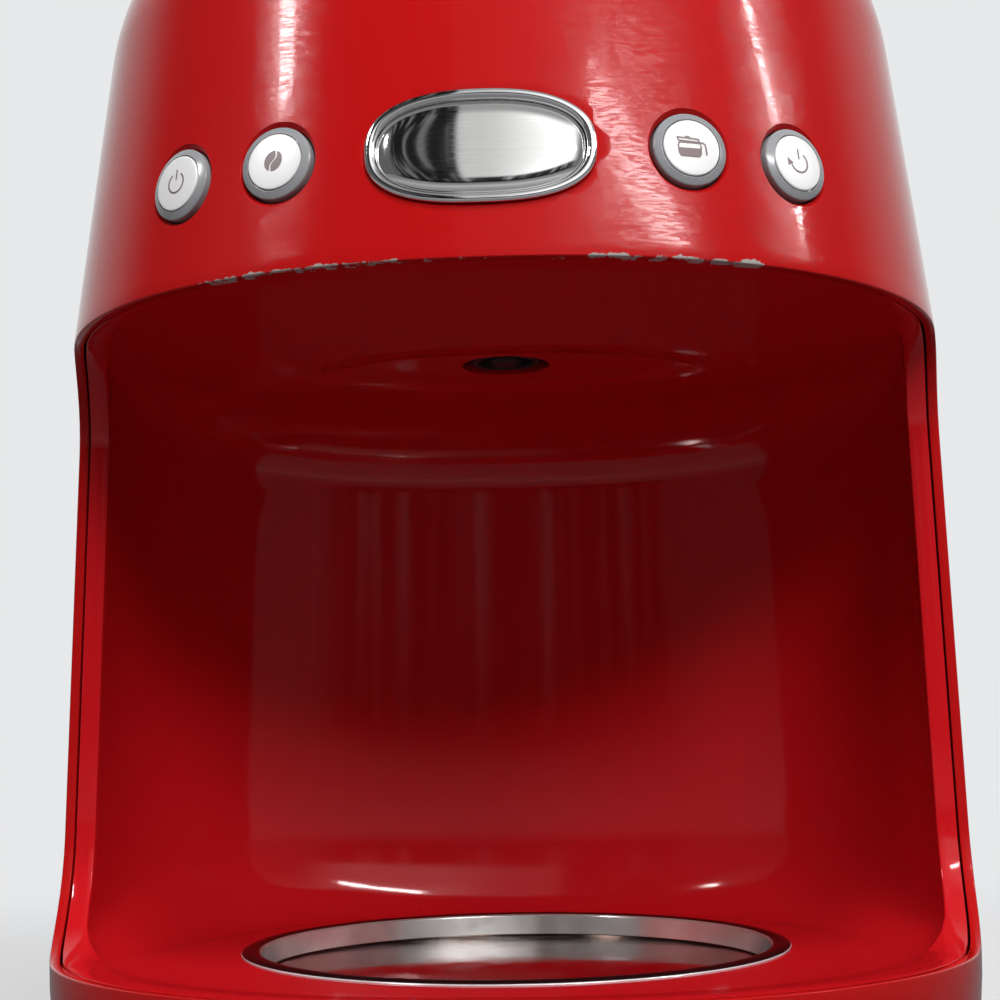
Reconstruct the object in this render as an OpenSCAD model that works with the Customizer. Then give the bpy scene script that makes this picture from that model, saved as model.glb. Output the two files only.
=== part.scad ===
// Drip-filter coffee machine with a domed, C-shaped housing.
// Millimetres. +Z is up, the jug bay opens towards -Y, and the origin is at table level
// under the middle of the machine.

/* [Overall size] */
// Width across the rim of the base
body_w = 256; // [236:1:276]
// Depth across the rim of the base
body_d = 245; // [230:1:260]
// Height from the table to the top of the lid
body_h = 361; // [340:1:380]
// Power of the plan outline: 2 is an ellipse, more is squarer
plan_power = 2.2; // [2:0.05:2.6]

/* [Housing] */
// Wall of the outer shell
shell_wall = 3.6; // [3:0.1:4.2]
// Height of the shell's lower edge above the table
skirt_z = 5; // [4:0.5:7]
// Height of the base rim, where the jug bay starts
rim_z = 56.4; // [54:0.2:60]
// Height of the head, from the jug bay's ceiling to the top of the lid
head_h = 137.6; // [133:0.2:145]
// Height of the lid, from its lower edge to its top
lid_h = 39; // [35:0.5:43]
// Radius of the rounding that tucks the skirt in
skirt_round = 60; // [56:1:80]
// How far that rounding would tuck in at its full depth
skirt_tuck = 30; // [20:1:36]
// Half-width lost between the base rim and the head
waist_draft = 3.5; // [1:0.5:6]
// Backward lean of the head's walls, in degrees
head_lean = 6.5; // [4:0.5:9]
// Height of the shoulder's rounding
shoulder_h = 52; // [44:1:58]
// Width of the shoulder's rounding
shoulder_w = 38; // [30:1:44]
// Height of the shallow crown above the shoulder
crown_h = 4; // [3:0.5:8]

/* [Jug bay] */
// Distance of the side rims in front of the middle
bay_front = 17; // [12:1:24]
// Rounding of the bay's rim over the base
bay_low_round = 31; // [24:1:36]
// Rounding of the bay's rim under the head
bay_high_round = 26.5; // [20:0.5:32]
// Gap of the seam between the shell and the liner
seam_gap = 0.6; // [0.4:0.1:0.8]
// Width of the liner's rim
liner_rim = 4.5; // [3.5:0.1:6]
// Wall of the liner's floor, ceiling and back
liner_wall = 2.6; // [2.2:0.1:3.2]
// Height of the bay's floor
floor_z = 53.8; // [52:0.2:54.5]
// Distance of the bay's back wall behind the middle
bay_back = 90; // [86:1:92]
// Rounding between the bay's walls, floor and ceiling
bay_round = 25; // [18:1:30]
// Rounding between the bay's floor and its side walls
floor_round = 12; // [6:1:16]
// Rounding between the bay's ceiling and its side walls
side_round = 3; // [2:1:18]
// Distance of the outlet and hot plate behind the middle
brew_y = 3; // [0:1:6]
// Bore of the outlet in the bay's ceiling
outlet_d = 26.4; // [24:0.2:28]
// Length of the oval dish round the outlet
dish_l = 115; // [100:1:124]
// Width of that dish, front to back
dish_w = 49; // [44:1:56]
// Distance of the dish's middle behind the outlet
dish_shift = 4; // [0:1:6]
// Depth of the dish
dish_depth = 1; // [0.6:0.1:1.2]
// Width over which the floor rises to the rim
floor_rise = 25; // [16:1:30]
// Width over which the floor rises to the back wall
back_rise = 8; // [5:0.5:8]
// How far the liner's rim reaches in along its wall
rim_depth = 4; // [3:0.5:6]

/* [Hot plate] */
// Outer diameter of the plate's polished ring
ring_d = 157; // [150:1:160]
// Width of the ring's flange
ring_flange = 5.8; // [5:0.2:8]
// Drop from the ring to the plate
plate_depth = 7; // [4:0.2:7.6]
// Thickness of the plate and its ring
plate_t = 1.2; // [1:0.1:1.4]

/* [Controls] */
// Height of the buttons and the display over the head's lower edge
control_rise = 27.6; // [22:0.2:34]
// Distance of the inner buttons from the middle
inner_button_x = 49.4; // [46:0.2:52]
// Distance of the outer buttons from the middle
outer_button_x = 75.8; // [73:0.2:79]
// Diameter of a button's grey cap
button_d = 18.6; // [17:0.2:20]
// Diameter of the white disc on a button
disc_d = 14.3; // [12.5:0.1:15]
// Width of the gap between a button's cap and the shell
button_gap = 0.5; // [0.4:0.1:1.8]
// How far a cap stands out of the shell
button_proud = 1.2; // [0.8:0.1:3]
// Travel of a button
button_travel = 1.2; // [0.8:0.1:1.4]
// Width of the display's bezel
bezel_w = 55; // [50:0.5:58]
// Height of the display's bezel
bezel_h = 29; // [26:0.5:32]
// Width of the bezel's ring
bezel_ring = 2.4; // [2:0.1:3]
// How far the bezel stands out of the shell
bezel_proud = 1.5; // [1:0.1:2]

/* [Brewing] */
// Outer diameter of the filter basket at its top
basket_d = 120; // [112:1:122]
// Outer diameter of the filter basket at its floor
basket_floor_d = 80; // [70:1:90]
// Distance of the basket's top edge below the deck
basket_drop = 10; // [8:1:16]
// Wall of the basket
basket_wall = 2; // [1.6:0.1:2.4]
// Gap between the basket and its well
well_gap = 2.4; // [2:0.2:3]
// Wall of the well
well_wall = 2; // [1.6:0.1:2.4]
// Diameter of the drip valve's stem
valve_d = 9.2; // [8:0.1:9.6]
// Lift of the drip valve
valve_lift = 4; // [3:0.2:4.4]
// Diameter of the spray head
spray_d = 44; // [36:1:52]

/* [Water] */
// Left end of the reservoir
tank_left = 92; // [84:1:94]
// Right end of the reservoir
tank_right = 60; // [52:1:61]
// Wall of the reservoir
tank_wall = 2; // [1.6:0.1:2.4]
// Height of the reservoir's floor
tank_z = 60; // [56:1:66]
// Bore of the heater and its hoses
hose_bore = 6; // [5:0.5:7]
// Wall of the hoses
hose_wall = 1.5; // [1.2:0.1:1.8]
// Width of the level window at the back
window_w = 10; // [8:0.5:14]
// Length of the level window
window_l = 120; // [100:1:126]
// Distance of the level window left of the middle, seen from the front
window_x = 40; // [30:1:50]
// Length of the filler opening under the lid
filler_l = 70; // [60:1:80]
// Width of the filler opening
filler_w = 15; // [12:0.5:16]

/* [Lid and hinge] */
// Wall of the lid
lid_wall = 3.2; // [2.8:0.1:3.6]
// Gap between the lid and the shell
lid_gap = 0.4; // [0.3:0.1:0.6]
// Diameter of the hinge pins
pin_d = 5; // [4:0.2:5.6]
// Outer diameter of the hinge knuckles
knuckle_d = 9.6; // [9:0.2:10.4]
// Distance of each hinge from the middle
hinge_x = 24; // [20:1:28]
// Width of one knuckle
knuckle_w = 9; // [7:0.5:10]

/* [Base] */
// Thickness of the base plate
base_t = 3; // [2.6:0.1:3.6]
// Diameter of a foot
foot_d = 18; // [14:1:22]
// Width across the feet, middle to middle
foot_x = 150; // [130:2:156]
// Depth across the feet, middle to middle
foot_y = 140; // [120:2:146]
// Diameter of the base screws
screw_d = 3; // [2.6:0.1:3.4]
// Bore of the cord gland
gland_bore = 7.4; // [6.8:0.1:8]

/* [Hidden] */

$fn = 48;
plan_sides = 64;
round_steps = 6;
fit = 0.3;
running_fit = 0.05;
cut = 1;

// Heights that follow from the overall height.
head_z = body_h - head_h;
split_z = body_h - lid_h;
shoulder_top = body_h - crown_h;
shoulder_z = shoulder_top - shoulder_h;
control_z = head_z + control_rise;
neck_z = (rim_z + head_z) / 2;

// ---- Outline of the housing ----

// Quarter-round drop: 0 at s = 0, and the whole radius at s = 1.
function quarter(s) = 1 - sqrt(max(0, 1 - s * s));

// Half the housing's width at a height.
function half_w(z) =
  z < rim_z ? body_w / 2 - skirt_tuck * quarter((rim_z - z) / skirt_round) :
  z < head_z ? body_w / 2 - waist_draft * (z - rim_z) / (head_z - rim_z) :
  body_w / 2 - waist_draft - (z - head_z) * tan(head_lean)
  - shoulder_w * quarter(min(1, max(0, (z - shoulder_z) / (shoulder_top - shoulder_z))));

// Half the housing's depth at a height.
function half_d(z) = half_w(z) * body_d / body_w;

// Signed power, which keeps the quadrant of a cosine or sine.
function spow(v, p) = sign(v) * pow(abs(v), p);

// Rounded plan outline, with its own half-depths towards the front and the back.
function plan(hw, front, back, power = plan_power, sides = plan_sides) =
  [for (i = [0 : sides - 1])
    let (t = 360 * i / sides, y = spow(sin(t), 2 / power))
    [hw * spow(cos(t), 2 / power), y * (y < 0 ? front : back)]];

// The housing's plan at a height, moved inwards.
function body_plan(z, inset) =
  plan(half_w(z) - inset, half_d(z) - inset, half_d(z) - inset);

// The bay's plan at a height: the sides follow the housing, the back is at its own distance.
function bay_plan(z, inset, back) = plan(half_w(z) - inset, half_d(z) - inset, back);

function at_height(points, z) = [for (p = points) [p.x, p.y, z]];

// Distance of the housing's front from the middle, at a place and height.
function face_y(x, z) =
  half_d(z) * pow(1 - pow(abs(x) / half_w(z), plan_power), 1 / plan_power);

// Middle of the space between the bay's back wall and the shell, at a distance from the middle.
function behind_bay(x) =
  let (shell = half_w(neck_z) - shell_wall, bay = half_w(neck_z) - bay_inset + liner_wall)
    ((half_d(neck_z) - shell_wall) * pow(1 - pow(x / shell, plan_power), 1 / plan_power)
    + (bay_back + liner_wall) * pow(1 - pow(x / bay, plan_power), 1 / plan_power)) / 2;

// Direction of the housing's face there: its turn from straight ahead, and its tilt upwards.
function face_turn(x, z) =
  let (p = plan_power - 1)
  atan2(spow(x / half_w(z), p) / half_w(z), pow(face_y(x, z) / half_d(z), p) / half_d(z));
function face_tilt(x, z) =
  let (p = plan_power - 1, slope = (half_w(z - 1) - half_w(z + 1)) / 2)
  atan2(slope / half_w(z),
    norm([pow(abs(x) / half_w(z), p) / half_w(z), pow(face_y(x, z) / half_d(z), p) / half_d(z)]));

// ---- Helpers ----

// Solid through a stack of convex outlines, given as lists of 3-D points.
module loft(rings) {
  for (i = [0 : len(rings) - 2]) {
    sides = len(rings[i]);
    hull()
      polyhedron(concat(rings[i], rings[i + 1]),
        [[for (k = [0 : sides - 1]) k], [for (k = [0 : sides - 1]) sides + k]]);
  }
}

// Places its children on the front face, with +Z outwards and +Y up the face.
module on_front(x, z) {
  translate([x, -face_y(x, z), z])
    rotate([90 - face_tilt(x, z), 0, face_turn(x, z)])
      children();
}

// Places its children on the back face, with +Z outwards and +Y up the face.
module on_back(x, z) {
  translate([x, face_y(x, z), z])
    rotate([90 - face_tilt(x, z), 0, 180 - face_turn(x, z)])
      children();
}

// Hollow round bar.
module pipe(h, d, bore) {
  difference() {
    cylinder(h = h, d = d);
    translate([0, 0, -cut]) cylinder(h = h + 2 * cut, d = bore);
  }
}

// Tube or bar of a round section, swept along points by a polyhedron with flat ends.
module sweep(path, d, sides = 8) {
  last = len(path) - 1;
  rings = [for (i = [0 : last])
    let (a = path[max(0, i - 1)], b = path[min(last, i + 1)],
      t = (b - a) / norm(b - a),
      u0 = cross(t, abs(t.z) < 0.9 ? [0, 0, 1] : [0, 1, 0]),
      u = u0 / norm(u0), v = cross(t, u))
    for (k = [0 : sides - 1])
      path[i] + d / 2 * (cos(360 * k / sides) * u + sin(360 * k / sides) * v)];
  polyhedron(rings, concat(
    [[for (k = [0 : sides - 1]) k]],
    [for (i = [0 : last - 1], k = [0 : sides - 1])
      let (n = (k + 1) % sides)
      [i * sides + k, (i + 1) * sides + k, (i + 1) * sides + n]],
    [for (i = [0 : last - 1], k = [0 : sides - 1])
      let (n = (k + 1) % sides)
      [i * sides + k, (i + 1) * sides + n, i * sides + n]],
    [[for (k = [sides - 1 : -1 : 0]) last * sides + k]]));
}

// ---- Levels and sizes that follow from the driving ones ----

liner_inset = shell_wall + seam_gap;
bay_inset = liner_inset + liner_rim;
ceiling_z = head_z;
outlet_z = ceiling_z + dish_depth;
liner_top = outlet_z + liner_wall;
liner_low = floor_z - liner_wall;
button_xs = [-outer_button_x, -inner_button_x, inner_button_x, outer_button_x];

ring_top = floor_z + 1;
ring_wall_r = ring_d / 2 - ring_flange;
plate_top = ring_top - plate_depth;
plate_z = plate_top - plate_t;
heater_r = 48;
heater_w = 18;
heater_h = 12;
heater_top = plate_z - 0.1;
hose_d = hose_bore + 2 * hose_wall;
port_x = 24;
port_y = 62;
port_z = heater_top - heater_h / 2;

deck_z = split_z - 10;
deck_t = 3;
well_r = basket_d / 2 + well_gap;
well_floor = liner_top + fit;
basket_z = deck_z - basket_drop;
basket_low = well_floor + well_wall + fit;
basket_floor = basket_low + 4;
valve_seat = basket_floor + basket_wall;
valve_top = valve_seat + 3;
cap_z = valve_seat + 12;

tank_top = deck_z - fit;
tank_step = liner_top + 4;
tank_inset = shell_wall + 1.6;
tank_front = brew_y + well_r + well_wall + 1.2;
filler_x = -14;
riser_low = [0.305 * body_w, behind_bay(0.305 * body_w)];
riser_high = [0.258 * body_w, 0.245 * body_d];

lid_z = split_z + lid_gap;
lid_liner_z = lid_z + 1;
lid_liner_t = 2;
hinge_z = split_z + 1;
hinge_y = half_d(split_z) + knuckle_d / 2 - 0.4;
hinge_sides = [-1, 1];
arm_z = lid_liner_z + lid_liner_t + fit;
arm_t = 2.6;
bracket_reach = knuckle_d / 2 + shell_wall + 3;

base_top = skirt_z + base_t;
frame_inset = shell_wall + 4;
frame_wall = 2.5;
boss_d = 9;
boss_h = 22;
boss_spots = [for (x = [-1, 1], y = [-1, 0, 1])
  [x * body_w * (y == 0 ? 0.375 : 0.18), y * body_d * 0.351]];
foot_spots = [for (x = [-1, 1], y = [-1, 1]) [x * foot_x / 2, y * foot_y / 2]];
gland_x = 0.258 * body_w;
gland_z = 26;
window_z = neck_z + 10;

// Where a button's parts lie along its axis, counted from the shell's face.
cap_back = -8;
guide_front = -shell_wall - 1.5;
guide_back = -12;
stem_end = -14;
switch_top = stem_end - button_travel - 0.2;
board_top = switch_top - 5.9;

// ---- Housing ----

// The space that opens the bay towards the front, as wide as the machine, grown by a margin.
module bay_opening(margin = 0) {
  low = [-bay_front - bay_low_round, rim_z + bay_low_round];
  high = [-bay_front - bay_high_round, head_z - bay_high_round];
  hull() {
    translate([-body_w, low.x, low.y]) rotate([0, 90, 0])
      cylinder(h = 2 * body_w, r = bay_low_round + margin);
    translate([-body_w, high.x, high.y]) rotate([0, 90, 0])
      cylinder(h = 2 * body_w, r = bay_high_round + margin);
    translate([-body_w, -body_d, rim_z - margin])
      cube([2 * body_w, 1, head_z - rim_z + 2 * margin]);
  }
}

module bezel_outline(inset) {
  polygon(plan(bezel_w / 2 - inset, bezel_h / 2 - inset, bezel_h / 2 - inset, 2.5, 48));
}

shell_levels = concat(
  [for (i = [0 : 5]) skirt_z + (rim_z - skirt_z) * sin(15 * i)], [rim_z, neck_z, head_z,
  (head_z + shoulder_z) / 2, shoulder_z, (shoulder_z + split_z) / 2, split_z]);

module outer_shell() {
  color([0.76, 0.05, 0.06])
    difference() {
      loft([for (z = shell_levels) at_height(body_plan(z, 0), z)]);
      loft(concat(
        [at_height(body_plan(skirt_z, shell_wall), skirt_z - cut)],
        [for (z = shell_levels) at_height(body_plan(z, shell_wall), z)],
        [at_height(body_plan(split_z, shell_wall), split_z + cut)]));
      bay_opening();
      for (x = button_xs)
        on_front(x, control_z)
          translate([0, 0, -12]) cylinder(h = 24, d = button_d + 2 * button_gap);
      on_front(0, control_z)
        translate([0, 0, -12]) linear_extrude(24) bezel_outline(bezel_ring / 2);
      on_back(-window_x, window_z)
        translate([0, 0, -12]) linear_extrude(24) window_outline(window_w, window_l);
      on_back(gland_x, gland_z)
        translate([0, 0, -12]) cylinder(h = 24, d = gland_bore + 8);
      for (side = hinge_sides)
        translate([side * hinge_x - knuckle_w / 2 - fit, half_d(split_z) - 16, deck_z + deck_t])
          cube([knuckle_w + 2 * fit, 32, 20]);
    }
}

// Heights of the bay's rounded floor and ceiling, and the distances lost there at the side walls
// and at the back wall.
bay_low_levels = [for (s = [0, 0.012, 0.04, 0.104, 0.24, 0.44, 0.7, 1])
  let (z = floor_z + bay_round * s, rise = min(1, (z - floor_z) / (rim_z - floor_z)),
    side = floor_round * quarter(max(0, 1 - (z - floor_z) / floor_round)))
    [z, max(side, floor_rise * (1 - sqrt(rise))), back_rise * quarter(1 - s)]];
bay_high_levels = [for (s = [0, 0.35, 0.6, 0.76, 0.88, 0.95, 0.985, 1])
  let (under = bay_round * (1 - s), side = max(0, 1 - under / side_round))
    [ceiling_z - under, side_round * quarter(side), bay_round * quarter(s)]];

// The bay's moulding: a thin skin with a wider rim where it meets the shell.
module bay_liner() {
  back = bay_back + liner_wall;
  heights = [liner_low, rim_z, neck_z, head_z, liner_top];
  rim = [for (z = heights) at_height(bay_plan(z, liner_inset, back), z)];
  skin = [for (z = heights) at_height(bay_plan(z, bay_inset - liner_wall, back), z)];
  cavity = [for (level = concat(bay_low_levels, bay_high_levels))
    at_height(bay_plan(level[0], bay_inset + level[1], bay_back - level[2]), level[0])];
  color([0.70, 0.04, 0.05])
    difference() {
      union() {
        loft(skin);
        intersection() {
          loft(rim);
          bay_opening(rim_depth);
        }
      }
      loft(cavity);
      bay_opening();
      translate([0, brew_y, liner_low - cut])
        cylinder(h = floor_z - liner_low + 2 * cut, r = ring_wall_r + plate_t + fit);
      translate([0, brew_y, ceiling_z - cut])
        cylinder(h = liner_top - ceiling_z + 2 * cut, d = outlet_d);
      translate([0, brew_y + dish_shift, ceiling_z - cut])
        linear_extrude(dish_depth + cut)
          polygon(plan(dish_l / 2, dish_w / 2, dish_w / 2, 2, 48));
    }
}

// ---- Lid ----

// The lid's outline at a share of its height, moved in by its wall at the foot and down at the top.
module dome(wall) {
  foot = wall > 0 ? [at_height(body_plan(lid_z, wall), lid_z - cut)] : [];
  shoulder = [for (s = [0, 0.35, 0.6, 0.8, 0.93, 0.999])
    let (z = lid_z + (shoulder_top - lid_z) * s)
    at_height(body_plan(z, wall * (1 - s * s)), z - wall * s * s)];
  crown = [for (s = [0.35, 0.7, 0.92])
    let (k = sqrt(1 - s), w = half_w(shoulder_top - 0.1) * k, d = w * body_d / body_w)
    at_height(plan(w, d, d), shoulder_top + crown_h * s - wall)];
  loft(concat(foot, shoulder, crown, [at_height(plan(8, 8, 8), body_h - wall)]));
}

module lid() {
  color([0.76, 0.05, 0.06])
    difference() {
      dome(0);
      dome(lid_wall);
      for (side = hinge_sides)
        translate([side * (hinge_x + knuckle_w + fit) - knuckle_w / 2 - fit,
            half_d(split_z) - 16, lid_z - cut])
          cube([knuckle_w + 2 * fit, 32, cut + arm_z + arm_t + fit - lid_z]);
      for (side = hinge_sides)
        translate([side * hinge_x - knuckle_w / 2 - fit, hinge_y - bracket_reach - fit, lid_z - cut])
          cube([knuckle_w + 2 * fit, 2 * bracket_reach, cut + knuckle_d]);
    }
}

// Plastic plate that closes the lid, with the water channel to the spray head.
module lid_liner() {
  channel = [riser_high.x, riser_high.y] - [0, brew_y];
  inset = lid_wall + fit;
  color([0.16, 0.16, 0.17])
    difference() {
      union() {
        translate([0, 0, lid_liner_z]) linear_extrude(lid_liner_t)
          polygon(body_plan(lid_liner_z + lid_liner_t, inset));
        translate([0, brew_y, lid_liner_z]) rotate([0, 0, atan2(channel.y, channel.x)]) {
          translate([0, -8, 0]) cube([norm(channel), 16, 9]);
          translate([norm(channel), 0, 0]) cylinder(h = 9, d = 17);
          cylinder(h = 9, d = 24);
        }
      }
      translate([0, brew_y, lid_liner_z]) rotate([0, 0, atan2(channel.y, channel.x)]) {
        translate([0, -4.5, lid_liner_t]) cube([norm(channel), 9, 5]);
        translate([norm(channel), 0, -cut]) cylinder(h = lid_liner_t + 5, d = 14);
        translate([0, 0, -cut]) cylinder(h = lid_liner_t + 5, d = 16);
      }
    }
}

// Rose under the lid that spreads the water over the coffee.
module spray_head() {
  depth = 9;
  color([0.2, 0.2, 0.21])
    translate([0, brew_y, lid_liner_z - fit - depth])
      difference() {
        cylinder(h = depth, d1 = spray_d - 6, d2 = spray_d);
        translate([0, 0, 2]) cylinder(h = depth, d = spray_d - 12);
        for (ring = [[0, 1], [7, 6], [13, 12]], i = [0 : ring[1] - 1])
          rotate([0, 0, 360 * i / ring[1]]) translate([ring[0], 0, -cut])
            cylinder(h = 4, d = 2);
      }
}

// One knuckle on the hinge axis, with its bore cut through whatever joins it.
module knuckle(x, bore) {
  difference() {
    union() {
      translate([x - knuckle_w / 2, hinge_y, hinge_z]) rotate([0, 90, 0])
        cylinder(h = knuckle_w, d = knuckle_d);
      children();
    }
    translate([x - knuckle_w / 2 - cut, hinge_y, hinge_z]) rotate([0, 90, 0])
      cylinder(h = knuckle_w + 2 * cut, d = bore);
  }
}

module hinge_brackets() {
  foot_z = deck_z + deck_t + 0.1;
  color([0.18, 0.18, 0.19])
    for (side = hinge_sides) {
      x = side * hinge_x;
      knuckle(x, pin_d + running_fit) {
        translate([x - knuckle_w / 2, hinge_y - bracket_reach, foot_z])
          cube([knuckle_w, bracket_reach, hinge_z - foot_z]);
        translate([x - knuckle_w, hinge_y - bracket_reach - 8, foot_z])
          cube([2 * knuckle_w, 8.2, 3]);
      }
    }
}

module lid_arms() {
  color([0.18, 0.18, 0.19])
    for (side = hinge_sides) {
      x = side * (hinge_x + knuckle_w + fit);
      knuckle(x, pin_d + 2 * running_fit)
        translate([x - knuckle_w / 2, hinge_y - 24, arm_z])
          cube([knuckle_w, 24, arm_t]);
    }
}

module hinge_pins() {
  color([0.7, 0.7, 0.72])
    for (side = hinge_sides)
      translate([side * (hinge_x + (knuckle_w + fit) / 2), hinge_y, hinge_z])
        rotate([0, 90, 0])
          cylinder(h = 2 * knuckle_w + fit + 1, d = pin_d, center = true);
}

// ---- Brewing ----

module top_deck() {
  color([0.17, 0.17, 0.18])
    difference() {
      union() {
        translate([0, 0, deck_z]) linear_extrude(deck_t)
          polygon(body_plan(deck_z + deck_t, shell_wall + fit));
        translate([0, brew_y, well_floor])
          cylinder(h = deck_z - well_floor + cut, r = well_r + well_wall);
        translate([riser_high.x, riser_high.y, deck_z]) cylinder(h = deck_t + 2, d = 16);
      }
      translate([0, brew_y, well_floor + well_wall])
        cylinder(h = body_h, r = well_r);
      translate([0, brew_y, well_floor - cut]) cylinder(h = 10, d = outlet_d);
      translate([filler_x - filler_l / 2, tank_front + 4, deck_z - cut])
        cube([filler_l, filler_w, deck_t + 2 * cut]);
      translate([riser_high.x, riser_high.y, deck_z - cut])
        cylinder(h = deck_t + 4, d = hose_d + 1 + 2 * running_fit);
    }
}

function basket_r(z) =
  basket_floor_d / 2 + (basket_d - basket_floor_d) / 2 * (z - basket_floor) / (basket_z - basket_floor);

module filter_basket() {
  bore = valve_d / 2 + 0.6;
  nose = bore + 5;
  color([0.12, 0.12, 0.13])
    translate([0, brew_y, 0]) {
      rotate_extrude()
        polygon([
          [bore, valve_seat], [bore, valve_seat - 2.6], [nose - 1.8, valve_seat - 2.6],
          [nose - 1.8, outlet_z + 0.8], [nose, outlet_z + 0.8], [nose, basket_floor],
          [basket_floor_d / 2 - 6, basket_floor], [basket_floor_d / 2 - 6, basket_low],
          [basket_floor_d / 2 - 4, basket_low], [basket_floor_d / 2 - 4, basket_floor],
          [basket_floor_d / 2, basket_floor],
          [basket_d / 2, basket_z - 3], [basket_d / 2 + 1.8, basket_z - 3],
          [basket_d / 2 + 1.8, basket_z], [basket_r(basket_z) - basket_wall, basket_z],
          [basket_r(valve_seat) - basket_wall, valve_seat]]);
      for (side = [-1, 1])
        translate([side * (basket_d / 2 + 0.2) - 1.2, -8, basket_z - cut])
          cube([2.4, 16, 8]);
    }
}

module mesh_filter() {
  wall = 0.8;
  low = cap_z + 5;
  low_r = basket_r(low) - basket_wall - 5;
  high_r = basket_d / 2 - basket_wall - 3;
  rim_r = basket_d / 2 - 1.4;
  color([0.72, 0.68, 0.55])
    translate([0, brew_y, 0])
      rotate_extrude()
        polygon([
          [0, low], [low_r, low], [high_r, basket_z + 0.2], [rim_r, basket_z + 0.2],
          [rim_r, basket_z + 0.2 + wall], [high_r - wall, basket_z + 0.2 + wall],
          [low_r - wall, low + wall], [0, low + wall]]);
}

module valve_plunger() {
  color([0.85, 0.85, 0.83])
    translate([0, brew_y, 0])
      rotate_extrude()
        polygon([
          [0, outlet_z + 0.2], [valve_d / 2 - 1, outlet_z + 0.2],
          [valve_d / 2, outlet_z + 1.2], [valve_d / 2, valve_seat + 1.1],
          [valve_d / 2 + 3, valve_seat + 1.1], [valve_d / 2 + 3, valve_top],
          [2, valve_top], [2, valve_top + 3], [0, valve_top + 3]]);
}

module valve_seal() {
  color([0.5, 0.5, 0.5])
    translate([0, brew_y, valve_seat + 0.1])
      pipe(1, valve_d + 5, valve_d + 2 * running_fit);
}

module valve_spring() {
  turns = 4;
  steps = 10;
  wire = 0.8;
  height = cap_z - valve_top - wire - 0.2;
  color([0.7, 0.7, 0.72])
    translate([0, brew_y, valve_top + wire / 2 + 0.1])
      sweep([for (i = [0 : turns * steps])
        let (t = 360 * i / steps)
        [3.6 * cos(t), 3.6 * sin(t), height * i / (turns * steps)]], wire, 6);
}

// Perforated cap over the drip valve, which holds its spring down.
module valve_cap() {
  r = valve_d / 2 + 8;
  color([0.12, 0.12, 0.13])
    translate([0, brew_y, 0]) {
      difference() {
        translate([0, 0, cap_z]) cylinder(h = 2, r = r);
        for (i = [0 : 5])
          rotate([0, 0, 60 * i]) translate([r - 4.4, 0, cap_z - cut]) cylinder(h = 4, d = 3);
      }
      for (i = [0 : 2])
        rotate([0, 0, 120 * i + 30]) translate([r - 1.8, 0, valve_seat + 0.1])
          cylinder(h = cap_z - valve_seat, d = 3);
    }
}

// ---- Water ----

// Plan of the reservoir: behind the liner below, and behind the basket's well above.
module tank_low_plan(wall) {
  z = tank_step;
  difference() {
    polygon(body_plan(z, tank_inset + wall));
    polygon(bay_plan(rim_z, liner_inset - 1 - wall, bay_back + liner_wall + 1 + wall));
    translate([-body_w, -body_d]) square([2 * body_w, body_d]);
    translate([tank_right - wall, -cut]) square([body_w, body_d]);
    translate([-tank_left + wall - body_w, -cut]) square([body_w, body_d]);
  }
}

module tank_high_plan(wall) {
  difference() {
    polygon(body_plan(tank_top, tank_inset + wall));
    translate([-body_w, -body_d]) square([2 * body_w, body_d + tank_front + wall]);
    translate([tank_right - wall, -cut]) square([body_w, body_d]);
    translate([-tank_left + wall - body_w, -cut]) square([body_w, body_d]);
  }
}

tank_port = [-30, behind_bay(30) - 1.4];

module reservoir() {
  color([0.85, 0.88, 0.9, 0.6])
    difference() {
      union() {
        translate([0, 0, tank_z]) linear_extrude(tank_step - tank_z) tank_low_plan(0);
        translate([0, 0, tank_step]) linear_extrude(tank_top - tank_step) tank_high_plan(0);
        translate([tank_port.x, tank_port.y, tank_z - 8]) cylinder(h = 9, d = hose_bore + 3);
      }
      translate([0, 0, tank_z + tank_wall])
        linear_extrude(tank_step - tank_z + 0.5) tank_low_plan(tank_wall);
      translate([0, 0, tank_step + tank_wall])
        linear_extrude(tank_top - tank_step) tank_high_plan(tank_wall);
      translate([tank_port.x, tank_port.y, tank_z - 9]) cylinder(h = 14, d = hose_bore - 1);
    }
}

module window_outline(w, l) {
  translate([-w / 2, -l / 2 + w / 2]) square([w, l - w]);
  for (end = [-1, 1]) translate([0, end * (l - w) / 2]) circle(d = w);
}

module level_window() {
  color([0.9, 0.92, 0.95, 0.5])
    on_back(-window_x, window_z)
      translate([0, 0, -shell_wall])
        linear_extrude(shell_wall + 0.3) window_outline(window_w - 2 * fit, window_l - 2 * fit);
}

module reservoir_filter() {
  color([0.75, 0.75, 0.72])
    translate([tank_port.x, tank_port.y, tank_z + tank_wall + 0.2]) pipe(10, 7, 4.4);
}

module check_valve() {
  color([0.8, 0.8, 0.78])
    translate([-port_x, port_y + 0.2, port_z]) rotate([-90, 0, 0])
      pipe(16, hose_d + 1, hose_bore - 1);
}

module feed_hose() {
  color([0.75, 0.75, 0.75])
    sweep([[-port_x, port_y + 16.4, port_z], [-port_x, port_y + 24, port_z],
      [-port_x - 3, port_y + 31, port_z + 0.5], [tank_port.x, tank_port.y - 0.6, port_z + 3],
      [tank_port.x, tank_port.y, tank_z - 12], [tank_port.x, tank_port.y, tank_z - 8.2]], hose_d);
}

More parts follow.
